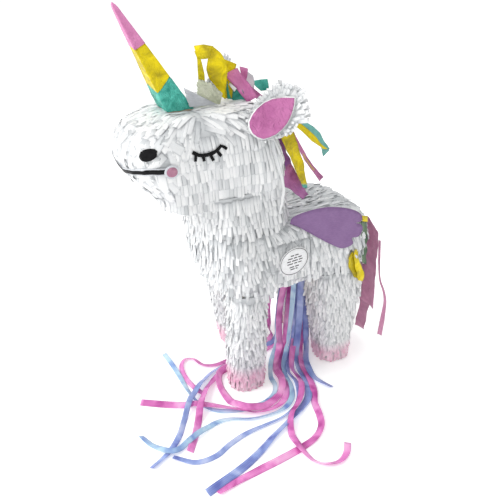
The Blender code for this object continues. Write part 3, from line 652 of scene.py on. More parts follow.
def make_hanging_loop(material):
    """A three-strand white string, tied in a loop on the back."""
    line = smooth_line([Vector(point) * MM for point in LOOP_ROUTE], LOOP_STEP)
    fine = smooth_line(line, STRING_STEP)
    rows = []
    for i, point in enumerate(fine):
        side = tangent_at(fine, i).cross(UP).normalized()
        row = []
        for j in range(STRING_SIDES + 1):
            angle = 2 * math.pi * j / STRING_SIDES
            swell = 1 + 0.16 * math.cos(3 * (angle - i * 0.35))
            row.append(point + (side * math.cos(angle) + UP * math.sin(angle)) * STRING_RADIUS * 0.92 * swell)
        rows.append(row)
    bits = Bits()
    bits.grid(rows)
    loop = finish_piece(bits, "twisted_hanging_loop", material, "white_cord", ["hanging_loop"])
    declare_cord(line)


# ---------------------------------------------------------------- fringe

class Style:
    """How a kind of fringe is cut and stands: sizes in mm, angles in degrees, ragged and tone as shares."""

    def __init__(
            self, width, length, lift, twist, stray, rows, steps=4, curl=0.0, hold=-0.3, rest=0.3, ragged=1.0,
            tone=0.62):
        self.width, self.length, self.lift = width * MM, length * MM, lift * MM
        self.twist, self.stray = math.radians(twist), math.radians(stray)
        self.rows, self.steps, self.curl, self.hold, self.rest = rows, steps, curl * MM, hold, rest * MM
        self.ragged, self.tone = ragged, tone


# Lowest that a strip hangs, and how far it may get from the skin before it hangs free
FRINGE_FOOT = 1.2 * MM
FRINGE_LETS_GO = 6 * MM

# Each style's tone is the middle of its strips' tones: painted shade by region, darkest on the back
CHEEK = Style(4.6, 19, 1.6, 7, 2, 12.5, ragged=0.25, tone=0.72)
MUZZLE = Style(8.0, 20, 0.5, 3, 26, 8, hold=-0.97, rest=0.35, tone=0.7)
NECK = Style(4.2, 18, 2.2, 12, 5, 9.5, curl=0.8, ragged=0.55, tone=0.78)
FLANK = Style(4.2, 17, 2.2, 16, 8, 8.5, curl=1.2, tone=0.6)
BACK = Style(4.6, 26, 1.8, 16, 16, 7, tone=0.10)
CROWN = Style(5.4, 24, 1.0, 8, 14, 7, tone=0.75)
LEG = Style(3.2, 13, 1.5, 26, 12, 5.8, steps=5, curl=1.2, tone=0.84)

MOUTH_STOPS = (
    (0, -140, 269), (6, -140, 271), (12, -140, 273), (18, -139, 275), (24, -138, 277), (30, -135, 278),
    (35, -132, 279), (40, -128, 280), (43, -124, 281), (46, -118, 281), (47, -111, 281))

# Places where stickers, the label and the wings need the fringe to lie close: centre, radius and share of lift left
PRESSED = (
    [(Vector((side * 53, -76, 293)) * MM, 20 * MM, 0.12) for side in (1, -1)]
    + [(Vector((side * 42, -130, 298)) * MM, 11 * MM, 0.12) for side in (1, -1)]
    + [(Vector((side * x, y, z)) * MM, 8.5 * MM, 0.08) for side in (1, -1) for x, y, z in MOUTH_STOPS]
    + [(Vector((62, 15, 160)) * MM, 19 * MM, 0.1)]
    + [(Vector((side * 58, y, 190)) * MM, 24 * MM, 0.4) for side in (1, -1) for y in (30, 60)])


def press(place):
    """Share of its lift that a strip keeps at a place."""
    keep = 1.0
    for centre, radius, left in PRESSED:
        away = (place - centre).length / radius
        if away < 1.35:
            keep = min(keep, left + (1 - left) * max(0.0, (away - 0.9) / 0.45))
    return keep


def lay_strip(bits, tree, base, normal, heading, style, rng, pink=None, stop=None):
    """One cut strip: it follows the surface from its base along its heading, and lifts towards its free end."""
    width = style.width * rng.uniform(0.78, 1.2)
    length = style.length * (1 + style.ragged * rng.uniform(-0.18, 0.14))
    lift = style.lift * (0.25 + rng.random() ** 1.6 * 1.5)
    curl = style.curl * rng.uniform(-0.2, 1.0)
    twist = rng.gauss(0, style.twist)
    drift = rng.gauss(0, style.stray)
    # The strip's tone: random round its style's level of painted shade
    tone = min(1.0, max(0.0, rng.gauss(style.tone, 0.30)))
    place, out = base.copy(), normal.copy()
    ahead = Matrix.Rotation(drift, 3, out) @ heading
    free = False
    rows = []
    step = length / style.steps
    for k in range(style.steps + 1):
        share = k / style.steps
        height = style.rest + (lift * share**1.4 + curl * share**4) * press(place)
        side = ahead.cross(out).normalized()
        turn = twist * share
        across = side * math.cos(turn) + out * math.sin(turn)
        centre = place + out * height
        centre.z = max(centre.z, FRINGE_FOOT)
        half = width / 2
        row = [centre - across * half, centre + out * 0.10 * width, centre + across * half]
        if stop is not None and centre.z < stop:
            if not rows:
                return
            reach = (rows[-1][1].z - stop) / max(rows[-1][1].z - row[1].z, 1e-6)
            rows.append([a.lerp(b, min(1.0, max(0.05, reach))) for a, b in zip(rows[-1], row)])
            break
        rows.append(row)
        target = place + ahead * step
        if not free:
            hit, facing, _, distance = tree.find_nearest(target)
            if hit is None or distance > FRINGE_LETS_GO or facing.z < style.hold:
                free = True
            else:
                place = hit
                out = (out * 0.35 + facing * 0.65).normalized()
                ahead = (ahead - ahead.dot(out) * out).normalized()
        if free:
            place = target
            ahead = (ahead * 0.55 + DOWN * 0.45).normalized()
            out = (out - out.dot(ahead) * ahead).normalized()
    if len(rows) > 1:
        bits.grid(rows, tone, pink)


OUTLINE_WAYS = 200
OUTLINE_REACH = 0.25


def outline(tree, centre, height):
    """The outer outline of a skin at one height, as points and the ways they face."""
    found = []
    for i in range(OUTLINE_WAYS):
        angle = 2 * math.pi * i / OUTLINE_WAYS
        way = Vector((math.cos(angle), math.sin(angle), 0))
        start = Vector((centre[0], centre[1], height)) + way * OUTLINE_REACH
        hit, facing, _, _ = tree.ray_cast(start, -way, OUTLINE_REACH)
        if hit is not None:
            found.append((hit, -facing if facing.dot(way) < 0 else facing))
    return found


def along_outline(found, spacing, rng):
    """Places at about equal distances round an outline."""
    places = []
    carried = rng.uniform(0, spacing)
    for (a, face_a), (b, face_b) in zip(found, found[1:] + found[:1]):
        span = (b - a).length
        if span > 0.02:
            continue
        while carried < span:
            t = carried / span
            places.append((a.lerp(b, t), face_a.lerp(face_b, t).normalized()))
            carried += spacing * rng.uniform(0.85, 1.15)
        carried -= span
    return places


def downhill(facing, flow):
    """The way a strip lies on a surface: down it where it is steep, and along the flow where it is level."""
    way = DOWN + flow
    return (way - way.dot(facing) * facing).normalized()


def level_places(tree, low, high, spacing, rng, least):
    """Places on the upward faces of a skin, in rows across it, with the spacing in and between rows in mm."""
    places = []
    y = low[1]
    while y < high[1]:
        x = low[0]
        while x < high[0]:
            start = Vector((x, y + rng.uniform(-1.5, 1.5) * MM, 0.5))
            hit, facing, _, _ = tree.ray_cast(start, DOWN, 0.5)
            if hit is not None and facing.z > least and hit.z > low[2]:
                places.append((hit, facing))
            x += spacing[0] * MM * rng.uniform(0.85, 1.15)
        y += spacing[1] * MM
    return places


def fringe_sides(bits, tree, centres, low, high, style_at, flow, rng, pick=None, pink=None, stop=None):
    """Rows of strips round the sides of a skin, from its foot to its top."""
    z = low
    while z <= high:
        centre = Vector(centres[0]).lerp(Vector(centres[1]), (z - low) / (high - low))
        found = outline(tree, centre, z)
        row_style = style_at(found[0][0])
        for place, facing in along_outline(found, row_style.width * 0.86, rng):
            style = style_at(place)
            base = place + UP * (rng.uniform(-2.2, 2.2) * style.ragged * MM)
            if pick is not None and not pick(base):
                continue
            limit = stop(base) if stop else None
            if style is MUZZLE and rng.random() > 0.7:
                continue
            lay_strip(bits, tree, base, facing, downhill(facing, flow), style, rng, pink, limit)
        z += row_style.rows * MM * rng.uniform(0.92, 1.08)


FRINGE_SEED = 7
LEGS = ("front_left_leg", "front_right_leg", "hind_left_leg", "hind_right_leg")
# Heights of the lowest and the highest row of strips round each skin, and of each row on the flap
HEAD_ROWS, JAW_ROWS, NECK_ROWS = (0.247, 0.3185), (0.2475, 0.254), (0.2, 0.241)
TORSO_ROWS, LEG_ROWS = (0.133, 0.1965), (0.007, 0.124)
FLAP_ROWS = (0.1425, 0.152, 0.1615, 0.171, 0.1795)
# Heights at which the torso's strips are cut off over a leg and under the belly, and where the legs are along y
LEG_STOP, BELLY_STOP = 0.114, 0.1275
FRONT_LEGS_END, HIND_LEGS_START = -0.004, 0.062
# The muzzle ends at one y on the sides and at another on top, and the flap's side of the torso starts at one x
MUZZLE_SIDE_END, MUZZLE_TOP_END, FLAP_SIDE = -0.108, -0.1, 0.045
# Where the pink of a hoof starts, and how far down it fades in
FRONT_HOOF, HIND_HOOF, HOOF_FADE = 34 * MM, 28 * MM, 14 * MM


def fringe_head(tissue, rng):
    tree = tree_of("head_fringe")
    head = Bits()
    head.backing("head_fringe", 0.0006, 45)
    middles, flow = ((0, -0.06), (0, -0.06)), Vector((0, 0.12, 0))
    by_place = lambda p: MUZZLE if p.y < MUZZLE_SIDE_END else CHEEK
    fringe_sides(head, tree, middles, *HEAD_ROWS, by_place, flow, rng)
    fringe_sides(head, tree, middles, *JAW_ROWS, lambda p: NECK, flow, rng)
    tops = level_places(tree, (-0.05, -0.145, 0.295), (0.05, 0.006), (4.2, 6.5), rng, 0.4)
    for place, facing in reversed(tops):
        if place.y >= MUZZLE_TOP_END:
            flow = Vector((place.x * 14, 0.9 if place.y > -0.075 else -0.5, 0))
            lay_strip(head, tree, place, facing, downhill(facing, flow), CROWN, rng)
        elif rng.random() < 0.8:
            flow = Vector((place.x * 10, -1.2, 0))
            lay_strip(head, tree, place, facing, downhill(facing, flow), MUZZLE, rng)
    finish_piece(head, "head_tissue_fringe", tissue, "white_fringe", ["head_fringe"])


def fringe_torso(tissue, rng, neck_tree):
    """The torso's fringe: it stops at the flap's upper edge and at the foot of the body."""
    tree = tree_of("torso_fringe", "fill_flap")
    low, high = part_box("fill_flap")
    on_flap = lambda p: p.x > FLAP_SIDE and low.y < p.y < high.y and low.z < p.z < high.z
    above_flap = lambda p: p.x > FLAP_SIDE and low.y - 0.002 < p.y < high.y + 0.002 and p.z >= high.z

    def stop(p):
        if above_flap(p):
            return high.z + 0.0006
        over_leg = p.y < FRONT_LEGS_END or p.y > HIND_LEGS_START
        return (LEG_STOP if over_leg else BELLY_STOP) + rng.uniform(-1.2, 2.0) * MM
    torso = Bits()
    torso.backing("torso_fringe", 0.0006, 45)
    fringe_sides(
        torso, tree, ((0, 0.035), (0, 0.03)), *TORSO_ROWS, lambda p: FLANK, Vector((0, 0.08, 0)), rng,
        pick=lambda p: not on_flap(p), stop=stop)
    for place, facing in level_places(tree, (-0.063, -0.078, 0.15), (0.063, 0.02), (3.8, 5.5), rng, 0.2):
        if neck_tree.ray_cast(place + UP * 0.2, DOWN, 0.2)[0] is None:
            way = downhill(facing, Vector((place.x * 25, (place.y + 0.02) * 25, 0)))
            lay_strip(torso, tree, place, facing, way, FLANK, rng, stop=stop(place))
    back = level_places(tree, (-0.05, 0.012, 0.18), (0.05, 0.118), (4.0, 7), rng, 0.4)
    for place, facing in reversed(back):
        lay_strip(torso, tree, place, facing, downhill(facing, Vector((place.x * 6, 0.9, 0))), BACK, rng)
    finish_piece(torso, "torso_tissue_fringe", tissue, "white_fringe", ["torso_fringe"])


def fringe_flap(tissue, rng):
    low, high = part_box("fill_flap")
    flap = Bits()
    flap.backing("fill_flap", 0.0002, 45)
    tree = tree_of("fill_flap")
    for z in FLAP_ROWS:
        y = low.y + 0.002
        while y < high.y - 0.0015:
            start = Vector((0.2, y, z + rng.uniform(-1, 1) * MM))
            hit, facing, _, _ = tree.ray_cast(start, Vector((-1, 0, 0)), 0.3)
            if hit is not None:
                lay_strip(flap, tree, hit, facing, DOWN.copy(), FLANK, rng, stop=low.z - 0.004)
            y += 3.7 * MM * rng.uniform(0.9, 1.1)
    finish_piece(flap, "fill_flap_fringe", tissue, "white_fringe", ["fill_flap"], "fill_flap")


def fringe_leg(leg, tissue, rng):
    pink_top = FRONT_HOOF if leg.startswith("front") else HIND_HOOF

    def pink(point, along, _):
        band = max(0.0, min(1.0, (pink_top - point.z) / HOOF_FADE))
        wave = 0.5 + 0.5 * noise.noise(point * 130)
        return band * (0.45 + 0.55 * along) * (0.55 + 0.6 * wave)
    bits = Bits()
    bits.backing(leg + "_fringe", 0.0005, 60)
    tree = tree_of(leg + "_fringe")
    fringe_sides(bits, tree, leg_centres(leg), *LEG_ROWS, lambda p: LEG, Vector(), rng, pink=pink)
    finish_piece(bits, leg + "_tissue_fringe", tissue, "white_fringe", [leg + "_fringe"])


def make_fringe(tissue):
    """All the white fringe: head, neck, torso and its flap, and the four legs with their pink hooves."""
    rng = random.Random(FRINGE_SEED)
    fringe_head(tissue, rng)
    neck_tree = tree_of("neck_fringe")
    neck = Bits()
    neck.backing("neck_fringe", 0.0006, 45)
    fringe_sides(neck, neck_tree, ((0, -0.022), (0, -0.03)), *NECK_ROWS, lambda p: NECK, Vector(), rng)
    finish_piece(neck, "neck_tissue_fringe", tissue, "white_fringe", ["neck_fringe"])
    fringe_torso(tissue, rng, neck_tree)
    fringe_flap(tissue, rng)
    for leg in LEGS:
        fringe_leg(leg, tissue, rng)


def leg_centres(leg):
    """Middle of a leg at its foot and at its top, from its card tube."""
    points = [v.co for v in NODES[leg].data.vertices]
    middles = []
    for low in (True, False):
        level = [p for p in points if (p.z < 0.02) == low and (low or p.z > 0.11)]
        middles.append((
            (min(p.x for p in level) + max(p.x for p in level)) / 2,
            (min(p.y for p in level) + max(p.y for p in level)) / 2))
    return middles


# ---------------------------------------------------------------- stickers on the head

SIDES = (("left", 1), ("right", -1))
LASH_LID = ((-91.5, 296.3), (-87, 293.4), (-81, 291.9), (-74.4, 292.2), (-68, 294.5), (-62.5, 300))
LASHES = (
    ((-88.3, 294), (-89.3, 287.3)), ((-81.5, 292.5), (-80.6, 286.2)), ((-74.5, 292.5), (-71.3, 285.3)),
    ((-68, 294.8), (-63.3, 288.7)), ((-62.8, 299), (-57.5, 294.8)))
LASH_WIDTH = 3.3
STICKER_LIFT = 1.9 * MM
STICKER_WALL = 0.25 * MM
NOSTRIL_RADII = (10.2, 6.4)
NOSTRIL_CENTRE = Vector((40.4, -130.2, 298))
NOSTRIL_ALONG = Vector((0.55, 0.78, 0.40)).normalized()
NOSTRIL_OUT = Vector((0.80, -0.58, 0.10)).normalized()
MOUTH_Z, MOUTH_RISE, MOUTH_CREST, MOUTH_END = 269.2, 12, 49, 62.8
MUZZLE_CORNER = Vector((13.5, -108))
MUZZLE_REACH = 33.6


def finish_piece(bits, name, material, slot, nodes, body="root", wall=None):
    """Make the collected sheets a piece: its wall and the CAD nodes it stands for, which are hidden; the slot is not
    used.
    """
    obj = bits.make(name, material, body)
    if wall:
        thick(obj, wall)
    if nodes:
        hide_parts(*nodes)
    return obj


def stroke(bits, place, points, width, step=1.5):
    """A flat stroke of some width along a line in a plane that place turns into points on the skin."""
    line = smooth_line([(u, v, 0) for u, v in points], step)
    rows = []
    for i, point in enumerate(line):
        ahead = tangent_at(line, i)
        half = Vector((-ahead.y, ahead.x, 0)) * width / 2
        rows.append([place(*((point - half).lerp(point + half, j / 3)).xy) for j in range(4)])
    bits.grid(rows)


def round_edge(radius_u, radius_v, centre=(0, 0), count=28, wobble=0.0):
    edge = []
    for i in range(count):
        angle = 2 * math.pi * i / count
        reach = 1 + wobble * noise.noise(Vector((math.cos(angle), math.sin(angle), radius_u)) * 3)
        u, v = radius_u * reach * math.cos(angle), radius_v * reach * math.sin(angle)
        edge.append((centre[0] + u, centre[1] + v))
    return edge


def make_lashes_and_nostrils(black, tree):
    for hand, side in SIDES:
        lash = Bits()
        cheek = lambda y, z, lift=0.0: on_skin(tree, mirrored((56, y, z), side) * MM, STICKER_LIFT + lift)
        stroke(lash, cheek, LASH_LID, LASH_WIDTH)
        for index, (root, tip) in enumerate(LASHES):
            stroke(lash, lambda y, z: cheek(y, z, (1 + index) * 0.01 * MM), (root, tip), LASH_WIDTH * 0.88)
        finish_piece(lash, f"{hand}_lash_sticker", black, "black_sticker", [f"{hand}_eyelashes"], wall=STICKER_WALL)
        nostril = Bits()
        up = NOSTRIL_OUT.cross(NOSTRIL_ALONG)
        corner = lambda u, v: on_skin(
            tree, mirrored(NOSTRIL_CENTRE + NOSTRIL_ALONG * u + up * v + NOSTRIL_OUT * 3, side) * MM, STICKER_LIFT)
        nostril.cut(round_edge(*NOSTRIL_RADII, wobble=0.05), corner, 2.4)
        finish_piece(
            nostril, f"{hand}_nostril_sticker", black, "black_sticker", [f"{hand}_nostril"], wall=STICKER_WALL)


def mouth_height(distance):
    return MOUTH_Z + MOUTH_RISE * math.sin(math.pi / 2 * math.hypot(distance, 2.5) / MOUTH_CREST)


def make_mouth(black, silver, dusty, tree):
    """A black band on a wider silver one round the muzzle, and a pink dot in a pale ring at each end."""
    def place(lift):
        def muzzle(distance, z):
            reach = abs(distance)
            if reach <= MUZZLE_CORNER.x:
                spot = Vector((reach, MUZZLE_CORNER.y - MUZZLE_REACH - 2, z))
            else:
                angle = (reach - MUZZLE_CORNER.x) / MUZZLE_REACH - math.pi / 2
                spot = MUZZLE_CORNER + Vector((math.cos(angle), math.sin(angle))) * (MUZZLE_REACH + 2)
                spot = Vector((*spot, z))
            return on_skin(tree, mirrored(spot, 1 if distance >= 0 else -1) * MM, lift * MM)
        return muzzle
    distances = [(MOUTH_END - 2) * step / 12 for step in range(-12, 13)]
    points = [(distance, mouth_height(distance)) for distance in distances]
    for name, material, slot, width, lift in (
            ("mouth_border", silver, "white_fringe", 7.0, 1.7), ("mouth_line", black, "black_sticker", 4.4, 2.1)):
        bits = Bits()
        stroke(bits, place(lift), points, width, 2.5)
        finish_piece(bits, name, material, slot, ["mouth_sticker"], wall=STICKER_WALL)
    for hand, side in SIDES:
        centre = (side * MOUTH_END, mouth_height(MOUTH_END))
        for name, material, slot, radius, lift in (
                ("dot_ring", silver, "white_fringe", 6.9, 2.5), ("cheek_dot", dusty, "ear_pink", 4.9, 2.9)):
            bits = Bits()
            bits.cut(round_edge(radius, radius, centre, 26), place(lift), 2.0)
            finish_piece(bits, f"{hand}_{name}", material, slot, ["mouth_sticker"], wall=STICKER_WALL)


# ---------------------------------------------------------------- horn, its tissue and the forelock

HORN_BASE = Vector((0, -84, 323.3)) * MM
HORN_TIP = Vector((0, -139, 425)) * MM
HORN_HALF = 12.5 * MM
HORN_CORNERS = tuple(Vector(corner) for corner in ((-1, -1, 0), (1, -1, 0), (1, 1, 0), (-1, 1, 0)))
# Share of the horn's length where each wrap starts and ends, at each corner
HORN_FOOT = (0.015, 0.015, 0.015, 0.015)
TEAL_TOP = (0.24, 0.20, 0.34, 0.30)
YELLOW_TOP = (0.61, 0.595, 0.645, 0.63)
HORN_END = (1.0, 1.0, 1.0, 1.0)


def horn_place(share, around, out):
    centre = HORN_BASE.lerp(HORN_TIP, share)
    corner = int(around) % 4
    way = HORN_CORNERS[corner].lerp(HORN_CORNERS[(corner + 1) % 4], around - int(around))
    return centre + way * (HORN_HALF * (1 - share) + out * min(1.0, (1 - share) / 0.03))


def round_corners(values, around):
    corner = int(around) % 4
    share = around - int(around)
    return values[corner] + (values[(corner + 1) % 4] - values[corner]) * share


def horn_wrap(node, low, high, out, crumple, material, slot, per_side=10, rows=16):
    """One colour's paper round the horn: its edges slant, and it is crumpled a little off the card."""
    sheet = []
    for i in range(rows + 1):
        row = []
        for j in range(4 * per_side + 1):
            around = (j % (4 * per_side)) / per_side
            start, end = round_corners(low, around), round_corners(high, around)
            ragged = 0.006 * noise.noise(Vector((around * 3, out * 4000, 0)))
            share = start + (end - start) * i / rows + (ragged if i in (0, rows) and end < 1 else 0)
            spot = horn_place(share, around, out)
            soft = noise.noise(spot * 130) * 0.6 + (0.5 - abs(noise.noise(spot * 75))) * 0.8
            row.append(horn_place(share, around, out + soft * crumple))
        sheet.append(row)
    bits = Bits()
    bits.grid(sheet)
    finish_piece(bits, node + "_paper", material, slot, [node], wall=PAPER_WALL)


FAN_ROWS = 7
FAN_WALL = 0.15 * MM


def pleated_fan(name, material, slot, nodes, apex, rim, pleats, depth):
    """Tissue gathered at its apex and folded to and fro along its rim."""
    apex, depth = Vector(apex) * MM, depth * MM
    rim = spread([Vector(point) * MM for point in rim], pleats * 2)
    sheet = []
    for r in range(FAN_ROWS + 1):
        share = r / FAN_ROWS
        row = []
        for k, end in enumerate(rim):
            fold = depth * (1 if k % 2 else -1) * share**0.7
            spot = apex.lerp(end, share * (1 + 0.05 * noise.noise(end * 300)))
            row.append(spot + Vector((fold, 0, 0)) + Vector((1, 0, 0)) * noise.noise(spot * 90) * depth * 0.6)
        sheet.append(row)
    bits = Bits()
    bits.grid(sheet)
    finish_piece(bits, name, material, slot, nodes, wall=FAN_WALL)


def make_horn(papers, silver):
    horn_wrap("horn_base_wrap", HORN_FOOT, TEAL_TOP, 0.9 * MM, 1.3 * MM, papers["horn_teal"], "teal_paper", 12, 18)
    horn_wrap("horn_middle_wrap", TEAL_TOP, YELLOW_TOP, 1.3 * MM, 0.35 * MM, papers["yellow"], "yellow_paper")
    horn_wrap("horn_tip_wrap", YELLOW_TOP, HORN_END, 1.6 * MM, 0.25 * MM, papers["horn_pink"], "pink_paper")
    pleated_fan(
        "pleated_tissue_fan", papers["cream"], "cream_tissue", ["horn_tissue_fan"], (9.5, -41.6, 324.1),
        ((9.5, -66, 329), (9.5, -65.5, 340), (9.5, -64.8, 351.4), (9.5, -50.8, 345.9), (9.5, -38.2, 334)), 17, 0.8)
    pleated_fan(
        "horn_foot_pleats", silver, "white_fringe", [], (12, -46, 325),
        ((14.6, -76, 327), (14.8, -79.5, 337), (14, -82, 347)), 8, 0.5)


def paper_piece(name, material, slot, nodes, *bands, wall=PAPER_WALL):
    """A piece of tissue strips: the two edge lines of each, and how it is bowed, crumpled and coloured; a tone under
    1 darkens a strip with painted shade.
    """
    bits = Bits()
    for left, right, look in bands:
        bits.band(left, right, **look)
    return finish_piece(bits, name, material, slot, nodes, wall=wall)


# How far a forelock strip turns to the camera: x gained over y
TUFT_SLANT = 0.5


def seen_band(plane_x, left, right, **look):
    """A strip between two edge lines, given as (y, z) on a plane and moved along the camera's sight to slant."""
    middle = sum(y for y, z in left + right) / len(left + right)

    def slanted(line):
        return [along_sight(plane_x + TUFT_SLANT * (y - middle), (plane_x, y, z)) for y, z in line]
    return slanted(left), slanted(right), look


def make_forelock(papers, tissue):
    """The tuft behind the horn: looped strips of yellow, pink, teal and white tissue."""
    paper_piece(
        "forelock_yellow_tissue", papers["yellow"], "yellow_paper", ["forelock_yellow"],
        seen_band(
            3, ((-61, 324), (-61, 337), (-61.2, 353), (-61.5, 369), (-64, 376)),
            ((-53, 324), (-54.2, 337), (-54.2, 353), (-57.8, 369), (-56, 377)),
            bow=0.10, crumple=0.0012, tone=0.85),
        seen_band(
            5.5, ((-61.5, 369.2), (-56, 368.2), (-49.9, 368.4)),
            ((-65.7, 381.5), (-55, 381.8), (-45.3, 379.1)), bow=-0.12, crumple=0.0015),
        seen_band(
            3.5, ((-49, 377), (-50.4, 368.2), (-52.6, 358), (-50, 349), (-43, 340), (-38.1, 330)),
            ((-44.9, 378.8), (-36, 371), (-31, 361), (-29.6, 353.5), (-31, 342), (-32.7, 326)),
            bow=0.12, crumple=0.0018),
        seen_band(
            1.5, ((-35, 365.8), (-33.4, 358.8), (-32, 348), (-33, 326)),
            ((-18.8, 358.7), (-20.5, 352.8), (-22.3, 343), (-24, 326)), bow=0.08, crumple=0.0012, tone=0.62))
    paper_piece(
        "forelock_pink_tissue", papers["pink"], "pink_paper", ["forelock_pink"],
        seen_band(
            2, ((-15.9, 356.3), (-14.2, 348.8), (-16, 340)), ((-6.4, 352.8), (-6.9, 346.1), (-10, 338)),
            bow=0.12, crumple=0.001, tone=0.7),
        seen_band(
            9, ((-36, 352), (-33.9, 349.2), (-22, 335), (-10.8, 321)),
            ((-22, 357), (-18.5, 351.1), (-8, 339), (0.6, 325.5)), bow=0.10, crumple=0.0012, tone=0.95),
        seen_band(
            4, ((-16.5, 339.4), (-6, 330), (3.5, 320.6)), ((-7.5, 338.2), (2, 330.5), (12.2, 321.9)),
            crumple=0.001, tone=0.35))
    paper_piece(
        "forelock_teal_tissue", papers["teal"], "teal_paper", ["forelock_teal"],
        seen_band(
            2, ((18, 327.8), (17.5, 334), (16, 339.9)), ((8.6, 328.6), (2, 334.5), (-1.9, 340.1)),
            bow=0.10, crumple=0.001, tone=0.95),
        seen_band(
            4.5, ((-33.5, 345), (-31.8, 336), (-30.5, 323)), ((-17, 339), (-13, 332), (-9.2, 321)),
            bow=0.06, crumple=0.0025, tone=0.45))
    paper_piece(
        "forelock_white_tissue", tissue, "white_fringe", [],
        seen_band(1, ((-7.5, 350.7), (-9, 342), (-12, 324)), ((0, 345), (1.6, 338.6), (0, 324)), crumple=0.0015),
        seen_band(6, ((-30, 341), (-24, 333)), ((-29, 343), (-21, 336)), crumple=0.0006),
        seen_band(6, ((-24, 333), (-17, 325)), ((-21.5, 334.5), (-12, 327)), crumple=0.0008), wall=WHITE_WALL)


# ---------------------------------------------------------------- ears

EAR_SEED = 31
EAR_BASE = Vector((50, -32, 311)) * MM
EAR_ALONG = Vector((22, 38, 29)).normalized()
EAR_FACE = Vector((0.769, -0.604, 0.209))
EAR_OUTLINE = ((2, 6), (24, 15), (46, 19), (58, 6), (57, -7), (50, -20), (31, -26), (16, -23), (4, -18), (-2, -6))
LINING_OUTLINE = (
    (1, -7), (1.5, -1), (4, 3.5), (10, 7.5), (17, 10), (25, 11), (33, 10), (43, 5.5), (51.5, 0), (48, -5),
    (44, -9), (39, -13), (34, -16), (27, -18.5), (19, -19.5), (12, -18.5), (7, -17), (3, -12.5))
EAR_MIDDLE = Vector((27, -4))


# Which way the strips on each side of an ear lift, where they start, and their rings as shares of the outline
EAR_RINGS = ((-1, -2.6, (0.42, 0.64, 0.86)), (1, 0.15, (0.70, 0.88)))


def ear_plane(side, crumple):
    """Turns distances along, across and out of an ear's plane, in mm, into a point."""
    face = (EAR_FACE - EAR_FACE.dot(EAR_ALONG) * EAR_ALONG).normalized()
    across = face.cross(EAR_ALONG)

    def place(u, v, out=0.0):
        spot = EAR_BASE + EAR_ALONG * u * MM + across * v * MM
        cup = 0.0016 * ((Vector((u, v)) - EAR_MIDDLE).length / 28) ** 2
        return mirrored(spot + face * (out * MM + cup + noise.noise(spot * 95) * crumple), side)
    return place


def ear_strip(bits, place, base, way, length, width, start, lift, twist, rng, tone):
    """A strip in an ear's plane, from a base outwards, lifting off its card."""
    side = Vector((-way.y, way.x))
    rows = []
    curl = rng.uniform(-1.2, 1.6)
    for k in range(6):
        share = k / 5
        spot = base + way * length * share + side * curl * share * share
        row = []
        for j in (-0.5, 0.0, 0.5):
            edge = spot + side * width * j
            row.append(place(edge.x, edge.y, start + lift * share**1.5 + math.sin(twist * share) * width * j))
        rows.append(row)
    bits.grid(rows, tone)


def make_ears(tissue, ear_pink):
    grown = lambda outline, share: [EAR_MIDDLE + (Vector(p) - EAR_MIDDLE) * share for p in outline]
    for hand, side in SIDES:
        rng = random.Random(EAR_SEED + side)
        bits = Bits()
        card = grown(EAR_OUTLINE, 0.93)
        place = ear_plane(side, 0.0006)
        for out in (-2.2, -0.2):
            bits.cut(spread(card + card[:1], 40)[:-1], lambda u, v: place(u, v, out), 5.0, 0.4)
        rim = spread([Vector((*p, 0)) for p in EAR_OUTLINE + EAR_OUTLINE[:1]], 46)[:-1]
        for out, start, rings in EAR_RINGS:
            for ring, point in ((ring, point) for ring in rings for point in rim):
                if rng.random() > 0.35 + 0.65 * ring:
                    continue
                spot = EAR_MIDDLE + (point.xy - EAR_MIDDLE) * ring * rng.uniform(0.96, 1.04)
                way = (point.xy - EAR_MIDDLE).normalized()
                way = Vector((way.x * 1.25, way.y)).normalized()
                way.rotate(Matrix.Rotation(rng.gauss(0, 0.16), 2))
                length = rng.uniform(6, 9.5) if ring > 0.8 else rng.uniform(8, 11)
                if point.x < 10 or (point.y < -10 and point.x < 42):
                    length *= 0.4
                elif point.y > 8:
                    length *= 0.7
                width, lift = rng.uniform(2.6, 4.2), out * rng.uniform(0.2, 2.0)
                twist = rng.gauss(0, 0.5)
                ear_strip(bits, place, spot, way, length, width, start, lift, twist, rng, rng.uniform(0.3, 1.0))
        finish_piece(bits, f"{hand}_ear_fringe", tissue, "white_fringe", [f"{hand}_ear"])
        for name, material, slot, share, out in (
                ("ear_edge", tissue, "white_fringe", 1.07, 1.9), ("ear_paper", ear_pink, "ear_pink", 1.0, 2.5)):
            bits = Bits()
            plane = ear_plane(side, 0.0011)
            bits.cut(grown(LINING_OUTLINE, share), lambda u, v: plane(u, v, out), 2.6)
            finish_piece(bits, f"{hand}_{name}", material, slot, [f"{hand}_ear_lining"], wall=WHITE_WALL)


# ---------------------------------------------------------------- mane and tail

def edges_of(route, widths, across):
    """The two edge lines of a strip along a route in mm, with its width at equal steps."""
    line = smooth_line([Vector(point) * MM for point in route], 4 * MM)
    left, right = [], []
    for i, point in enumerate(line):
        place = i / (len(line) - 1) * (len(widths) - 1)
        k = min(len(widths) - 2, int(place))
        width = (widths[k] + (widths[k + 1] - widths[k]) * (place - k)) * MM
        ahead = tangent_at(line, i)
        side = (across - across.dot(ahead) * ahead).normalized() * width / 2
        left.append(point - side)
        right.append(point + side)
    return left, right


def seen_edge(start_x, end_x, plane_x, *points):
    """Points given as (y, z) on a plane and moved along the camera's sight, so that x goes from start to end."""
    return [
        along_sight(start_x + (end_x - start_x) * i / (len(points) - 1), (plane_x, y, z))
        for i, (y, z) in enumerate(points)]


